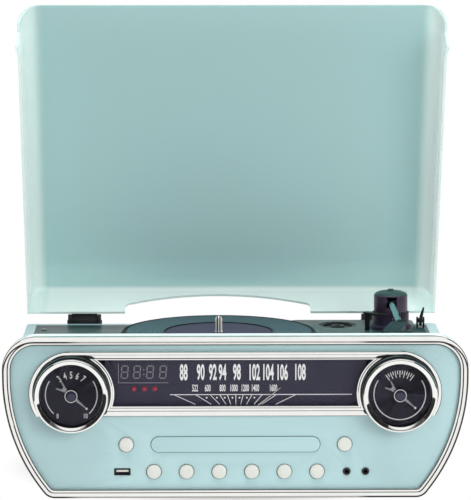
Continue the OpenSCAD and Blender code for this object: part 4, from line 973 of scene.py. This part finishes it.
# Painted shade: a black sheet deep in the socket's mouth, behind the tongue.
bm = bmesh.new()
bar(bm, (USB_X - MOUTH_HALF, USB_Z), (USB_X + MOUTH_HALF, USB_Z), MOUTH_HIGH,
    PANEL_Y + MOUTH_DEPTH, 0.4)
settle("usb_depth", bm, "cabinet", "satin black")

# %% [markdown]
# ## Deck pieces
# The mat is ribbed rubber: a raised edge, fine rings and a smooth middle. The spindle is polished
# steel. Both are turned about the platter's axis, which stands upright.

# %% Mat, platter and spindle
MAT_LOW, MAT_TOP, RIB_TOP, RIB_FOOT = 125.25, 127.7, 127.6, 127.3
BORE_R, MIDDLE_Z, RIB_PITCH, FIRST_RIB = 4.8, 126.9, 4.4, 93.0
rings = [(BORE_R, MIDDLE_Z), (BORE_R, MAT_LOW), (96.0, MAT_LOW), (96.0, 127.1), (95.4, MAT_TOP),
         (93.6, MAT_TOP)]
for i in range(9):
    outer = FIRST_RIB - i * RIB_PITCH
    rings += [(outer, RIB_FOOT), (outer - 0.5, RIB_FOOT), (outer - 0.9, RIB_TOP),
              (outer - 3.9, RIB_TOP)]
rings += [(53.4, RIB_TOP), (52.6, MIDDLE_Z), (BORE_R, MIDDLE_Z)]
settle("mat_ribbed", turned(rings, SPINDLE, True, 144), "platter", "mat rubber",
       "slipmat")
settle("platter_rim", softened("platter", 0.3, dissolve=0.1), "platter", "satin black",
       "platter")
PIN = [(0, 143.0), (1.2, 142.8), (2.4, 141.9), (3.3, 140.2), (3.55, 138.8), (3.55, 127.7),
       (4.2, 127.5), (4.2, 91.0), (0, 91.0)]
settle("spindle_pin", turned(PIN, SPINDLE, True, 48), "cabinet", "pin steel", "spindle")

# %% [markdown]
# ## Lid
# One moulded shell with walls at its sides and back, open in front where it rests over the hood,
# and an arch cut from the rear wall for a large record. A box with bevels would give the wrong
# corners, so a cross-section is drawn once and carried from front to back, growing and shrinking
# on its way. Solidify then gives the wall its thickness.

# %% Sizes of the lid and its three curves
RIM_Z, HOOD_RIM_Z, LID_TOP, EDGE_R, BACK_R, FRONT_R = 114.7, 145.0, 162.5, 15.0, 8.0, 1.1
LID_FRONT, LID_BACK, LID_HALF, CORNER_R, WALL, SOFT_RIM = 2.0, 334.0, 211.0, 15.0, 2.5, 0.6
FLARE, FLARE_FROM, FLARE_LENGTH = 1.8, 25, 12
HOOD_END, RING_CLEAR_R = 23.8, 33.9


def fall(radius, past):
    """How far a rounding of this radius has fallen off, past millimetres beyond its start."""
    return radius - math.sqrt(max(0, radius ** 2 - max(0, past) ** 2))


def lid_half_width(y):
    """Half the lid's width at a distance behind the front: wider over the hood, round corners."""
    share = min(1, max(0, (y - FLARE_FROM) / FLARE_LENGTH))
    flare = FLARE * (0.5 + 0.5 * math.cos(math.pi * share))
    return LID_HALF + flare - fall(CORNER_R, LID_FRONT + CORNER_R - y)


def lid_height(y):
    """Height of the lid's top, rounded down at the front and at the back."""
    return LID_TOP - fall(FRONT_R, LID_FRONT + FRONT_R - y) - fall(BACK_R, y - LID_BACK + BACK_R)


def lid_low(y):
    """Height of the side wall's edge. In front it stays outside the trim ring's round corners."""
    past = max(0, lid_half_width(y) - SHOULDER_X)
    over_ring = SHOULDER_Z + math.sqrt(max(0, RING_CLEAR_R ** 2 - past ** 2))
    return max(HOOD_RIM_Z, over_ring) if y < HOOD_END else HOOD_RIM_Z


# %% Lid shell
bm = bmesh.new()
left = arc(bm, (-LID_HALF + EDGE_R, LID_TOP - EDGE_R), EDGE_R, 180, 90, 16, LID_FRONT)
right = arc(bm, (LID_HALF - EDGE_R, LID_TOP - EDGE_R), EDGE_R, 90, 0, 16, LID_FRONT)
for side, end in ((-1, left[0]), (1, right[-1])):
    low, step = (bm.verts.new((side * LID_HALF, LID_FRONT, z)) for z in (RIM_Z, HOOD_RIM_Z))
    bm.edges.new((low, step))
    bm.edges.new((step, end))
bm.edges.new((left[-1], right[0]))
current = list(bm.edges)

stops = [LID_FRONT + FRONT_R * (1 - math.cos(math.radians(a))) for a in range(15, 91, 15)]
stops += [4, 5, 7, 9.5, 12, 15, 18, 21, HOOD_END, 26, 28, 30, 32, 34, 36, 38, 60, 100, 150, 200,
          250, 300, 320]
stops += [LID_BACK - BACK_R * (1 - math.sin(math.radians(a))) for a in range(0, 91, 10)]
for y in stops:
    made = bmesh.ops.extrude_edge_only(bm, edges=current)["geom"]
    for v in only(BMVert, made):
        v.co.y = y
    current = only(BMEdge, made)

for v in bm.verts:
    y, z = round(v.co.y, 4), v.co.z
    if z > HOOD_RIM_Z - 0.01:
        share = (z - HOOD_RIM_Z) / (LID_TOP - HOOD_RIM_Z)
        z = lid_low(y) + share * (lid_height(y) - lid_low(y))
    v.co = Vector((v.co.x * lid_half_width(y) / LID_HALF, y, z))
print("lid sections:", len(stops) + 1)

# %% Lid rear wall with its arch, open front and wall thickness
ARCH_X, ARCH_HALF, ARCH_LOW, ARCH_HIGH, ARCH_CORNER = -14.0, 96.0, 18.0, 33.7, 8.0
half, rise = ARCH_HALF - ARCH_CORNER, ARCH_HIGH - ARCH_LOW
arch_r = (half ** 2 + rise ** 2) / (2 * rise)
swing = math.degrees(math.asin(half / arch_r))
corner_z = RIM_Z + ARCH_LOW - ARCH_CORNER
corner_r = arc(bm, (ARCH_X + half, corner_z), ARCH_CORNER, 0, 60, 6, LID_BACK)
crown = arc(bm, (ARCH_X, RIM_Z + ARCH_HIGH - arch_r), arch_r, 90 - swing, 90 + swing, 40, LID_BACK)
corner_l = arc(bm, (ARCH_X - half, corner_z), ARCH_CORNER, 120, 180, 6, LID_BACK)
foot_r = bm.verts.new((ARCH_X + ARCH_HALF, LID_BACK, RIM_Z))
foot_l = bm.verts.new((ARCH_X - ARCH_HALF, LID_BACK, RIM_Z))
ends = sorted({v for e in current for v in e.verts if abs(v.co.z - RIM_Z) < 0.01},
              key=lambda v: v.co.x)
links = [(ends[1], foot_r), (foot_r, corner_r[0]), (corner_r[-1], crown[0]),
         (crown[-1], corner_l[0]), (corner_l[-1], foot_l), (foot_l, ends[0])]
rim_edges = [bm.edges.new(pair) for pair in links]
arch_edges = [e for chain in (corner_r, crown, corner_l) for v in chain for e in v.link_edges]
bmesh.ops.contextual_create(bm, geom=list(set(current + rim_edges + arch_edges)))
middles = {f: f.calc_center_median() for f in bm.faces}
skirt = [f for f, spot in middles.items() if spot.y < HOOD_END and spot.z < HOOD_RIM_Z]
bmesh.ops.delete(bm, geom=skirt, context="FACES")
shell = settle("lid_shell", bm, "lid", "lid plastic", "lid", smooth=32, opened=True)
wall = shell.modifiers.new("wall", "SOLIDIFY")
wall.thickness, wall.offset, wall.use_even_offset = WALL * MM, -1, True
soft = shell.modifiers.new("soft rim", "BEVEL")
soft.width, soft.segments = SOFT_RIM * MM, 3
soft.limit_method, soft.angle_limit = "ANGLE", math.radians(60)

# %% [markdown]
# ## The arm's cap and the lift lever
# The cap over the arm's pivot slopes from its knob down to its rim; the CAD solid has it nearly
# flat, so the copy's upper rings are raised. The lift lever is a small black paddle on a thin foot,
# cut from sheet and leaning outwards, with a round cam under it between two ears of the deck.

# %% Arm cap
ARM_X, ARM_Y, CAP_R, CAP_FLAT_R, CAP_RISE, CAP_SHOULDER = 161.0, 280.0, 17.0, 9.0, 2.6, 153.5
bm = softened("tonearm_turret", 0.3, sharp=45)
for v in bm.verts:
    radius = math.hypot(v.co.x - ARM_X, v.co.y - ARM_Y)
    if v.co.z > CAP_SHOULDER:
        v.co.z += CAP_RISE * min(1, max(0, (CAP_R - radius) / (CAP_R - CAP_FLAT_R)))
settle("arm_cap", bm, "arm_turret", "cap plastic", "tonearm_turret")

# %% Lift lever
CUE_X, CUE_Y, CUE_Z, PADDLE_THICK = 193.4, 307.0, 122.0, 2.2
AXLE, WASHER, CAM = (1.4, 7.6), (2.5, 4.2), (5.6, 2.6)
PADDLE = [(-0.7, -2.5), (0.8, -2.5), (1.1, 2.6), (2.6, 4.4), (4.0, 12.6), (3.5, 13.4),
          (2.6, 13.4), (2.1, 12.6), (-0.9, 4.0), (-0.8, 2.6)]
ACROSS = Matrix.Translation((CUE_X, CUE_Y, CUE_Z)) @ Matrix.Rotation(math.pi / 2, 4, "Y")


def crosswise(bm, radius, length):
    """A cylinder that lies across, about the lever's axis."""
    return bmesh.ops.create_cone(bm, cap_ends=True, segments=40, radius1=radius, radius2=radius,
                                 depth=length, matrix=ACROSS)["verts"]


bm = bmesh.new()
outline = [bm.verts.new((CUE_X + x, CUE_Y - PADDLE_THICK / 2, CUE_Z + z)) for x, z in PADDLE]
face = bmesh.ops.contextual_create(bm, geom=outline)["faces"][0]
thick = bmesh.ops.extrude_face_region(bm, geom=[face])["geom"]
bmesh.ops.translate(bm, vec=(0, PADDLE_THICK, 0), verts=only(BMVert, thick))
bevel(bm, list(bm.edges), 0.25)
crosswise(bm, *AXLE)
crosswise(bm, *WASHER)
cam = crosswise(bm, *CAM)
parts = cam + list({part for v in cam for part in (*v.link_edges, *v.link_faces)})
cut = bmesh.ops.bisect_plane(bm, geom=parts, plane_co=(0, 0, CUE_Z), plane_no=(0, 0, 1),
                             clear_outer=True)["geom_cut"]
bmesh.ops.edgenet_fill(bm, edges=only(BMEdge, cut))
settle("lift_paddle", bm, "cue_lever", "satin black", "cue_lever")

# %% [markdown]
# ## The other CAD pieces
# Everything else has the right shape and takes a finish. Round and bevelled ones are copied and
# merged, so that they shade smoothly; the hidden ones inside keep their own mesh.

# %% Copies with soft edges: body, width of the bevel, and finish with slot where not satin black
SOFT_COPIES = {
    "tonearm_base": ("cabinet", 0.35, "arm black", "black_plastic"),
    "arm_tube": ("arm", 0.2, "brushed tube", "tube_silver"),
    "headshell": ("arm", 0.35, "head black", "black_plastic"),
    "cartridge": ("arm", 0.2, "cartridge plastic", "stylus_red"),
    "arm_rest": ("cabinet", 0.3),
    "cue_lift": ("cue_lift", 0.25),
    "hinge_bases": ("cabinet", 0.4),
    "hinge_arms": ("lid", 0.4),
    "speed_switch": ("speed_switch", 0.2),
    "autostop_switch": ("autostop_switch", 0.2),
    "adapter_45": ("adapter", 0.3),
    "tray_door": ("tray", 0.3, "panel paint", "panel_teal"),
    "cd_tray": ("tray", 0.3),
    # Painted shade: the socket's steel shell is coloured black for the dark of its mouth.
    "usb_socket": ("cabinet", 0.1, "seam black", "steel"),
    "headphone_jacks": ("cabinet", 0.25),
    "rca_jacks": ("cabinet", 0.2, "steel", "steel"),
    "power_inlet": ("cabinet", 0.25),
    "bottom_cover": ("cabinet", 0.3, "satin black", "grey_metal"),
    "feet": ("cabinet", 0.4, "rubber", "rubber"),
    "case_screws": ("cabinet", 0.15, "steel", "steel"),
    "dial_needle": ("needle", 0.1, "bright steel", "chrome"),
}
for node, (body, width, *look) in SOFT_COPIES.items():
    finish, slot = look or ("satin black", "black_plastic")
    settle(node + "_soft", softened(node, width, sharp=45), body, finish, node)

# %% Finishes straight on the frame's own meshes
PLAIN = {
    "knob_dials": "dial black", "dial_window": "dial glass", "display_module": "dial black",
    "volume_pot": "zinc", "tuning_capacitor": "zinc", "dial_cord": "cord tan",
    "platter_bearing": "bronze", "drive_motor": "zinc", "drive_belt": "rubber",
    "speakers": "satin black", "circuit_boards": "board green", "power_supply": "copper brown",
    "cd_mechanism": "zinc", "ferrite_antenna": "ferrite", "motor_pulley": "ivory",
}
for node, finish in PLAIN.items():
    slots = nodes[node].data.materials
    slots.clear()
    slots.append(finishes[finish])
print("plain nodes:", len(PLAIN))

# %% [markdown]
# ## Stage
# A pale floor that fades to pure white, so no horizon shows, and two dark cards out of view.
# Chrome has no look of its own: it needs something dark to draw the lines that make it metal.

# %% Props
def prop(name, bm, finish):
    """A thing beside the object, which the picture needs and the object doesn't hold."""
    mesh = bpy.data.meshes.new(name)
    bm.to_mesh(mesh)
    bm.free()
    mesh.materials.append(finish.material)
    holder = bpy.data.objects.new(name, mesh)
    bpy.context.scene.collection.objects.link(holder)
    return holder


def card(name, place, target, size):
    """A dark card that only chrome and gloss see."""
    bm = bmesh.new()
    bmesh.ops.create_grid(bm, x_segments=1, y_segments=1, size=0.5)
    bmesh.ops.scale(bm, vec=(*size, 1), verts=bm.verts)
    turn = (Vector(target) - Vector(place)).to_track_quat("Z", "Y").to_matrix().to_4x4()
    bm.transform(Matrix.Translation(place) @ turn)
    holder = prop(name, bm, Finish(name + " cloth", (30, 28, 27), Roughness=0.9))
    holder.visible_diffuse = False
    holder.visible_camera = False
    holder.visible_shadow = False


card("card_left", (-0.5, -0.35, 0.3), (0, -0.35, 0.3), (1.1, 0.6))
card("card_right", (0.55, -0.35, 0.46), (0, -0.35, 0.46), (1.1, 0.7))

# %% Floor
FLOOR_R, FADE, FADE_OVAL = 3.0, (0.11, 0.21), (0.9, 1.1, 1)
WHITE = (1, 1, 1, 1)
f = Finish("floor paper", Roughness=0.9, Specular_IOR_Level=0.1)
f.feed("Base Color", f.mottle(400, 2, (247, 247, 247), (244, 244, 244)))
fade = f.between(f.length(f.place(FADE_OVAL)), *FADE)
white = f.node("ShaderNodeEmission", None, {"Color": WHITE, "Strength": 1.0})
paper = f.node("ShaderNodeMixShader", None,
               {0: fade * f.looked_at(), 1: Wire(f, f.shader.outputs[0]), 2: white})
f.put(f.tree.nodes["Material Output"].inputs["Surface"], paper)
bm = bmesh.new()
bmesh.ops.create_circle(bm, cap_ends=True, segments=96, radius=FLOOR_R)
prop("floor", bm, f)

# %% [markdown]
# ## World and lamps
# The room is white to the eye and in mirrors, with a dark band round the walls that gives chrome
# its contrast, and dimmer as a source of light. Two large lamps light the front and the top. They
# stay out of reflections, where they would burn out to flat white spots.

# %% World
SKY, DARK, WALL_BAND, ROOF_BAND = 0.3, 0.9, (0.17, 0.23), (0.74, 0.84)
world = bpy.data.worlds.new("studio")
bpy.context.scene.world = world
world.use_nodes = True
studio = Network(world.node_tree)
direction = studio.node("ShaderNodeTexCoord", out="Generated")
up = studio.node("ShaderNodeSeparateXYZ", None, {0: direction}, "Z")
wall, roof = (studio.node("ShaderNodeMapRange", None,
                          {"Value": up, "From Min": low, "From Max": high})
              for low, high in (WALL_BAND, ROOF_BAND))
dark_wall = studio.ray("Glossy") * (wall * (1 - roof)) * DARK
background = world.node_tree.nodes["Background"].inputs
studio.put(background["Color"], WHITE)
studio.put(background["Strength"], SKY + studio.looked_at() * (1 - SKY) - dark_wall)
print("world nodes:", len(world.node_tree.nodes))


# %% Lamps
def lamp(name, place, target, size, watts):
    data = bpy.data.lights.new(name, "AREA")
    data.shape, data.size, data.size_y, data.energy = "RECTANGLE", *size, watts
    holder = bpy.data.objects.new(name, data)
    holder.location = place
    holder.rotation_euler = (Vector(target) - Vector(place)).to_track_quat("-Z", "Y").to_euler()
    holder.visible_glossy = False
    bpy.context.scene.collection.objects.link(holder)
    print(f"lamp {name}: {watts} W")


lamp("key", (1.5, -2.2, 0.95), (0, 0, 0.2), (1.9, 1.3), 36)
lamp("top", (0.2, -0.3, 2.1), (0, -0.1, 0.1), (1.6, 0.7), 43)
view = bpy.context.scene.view_settings
view.view_transform = "Standard"
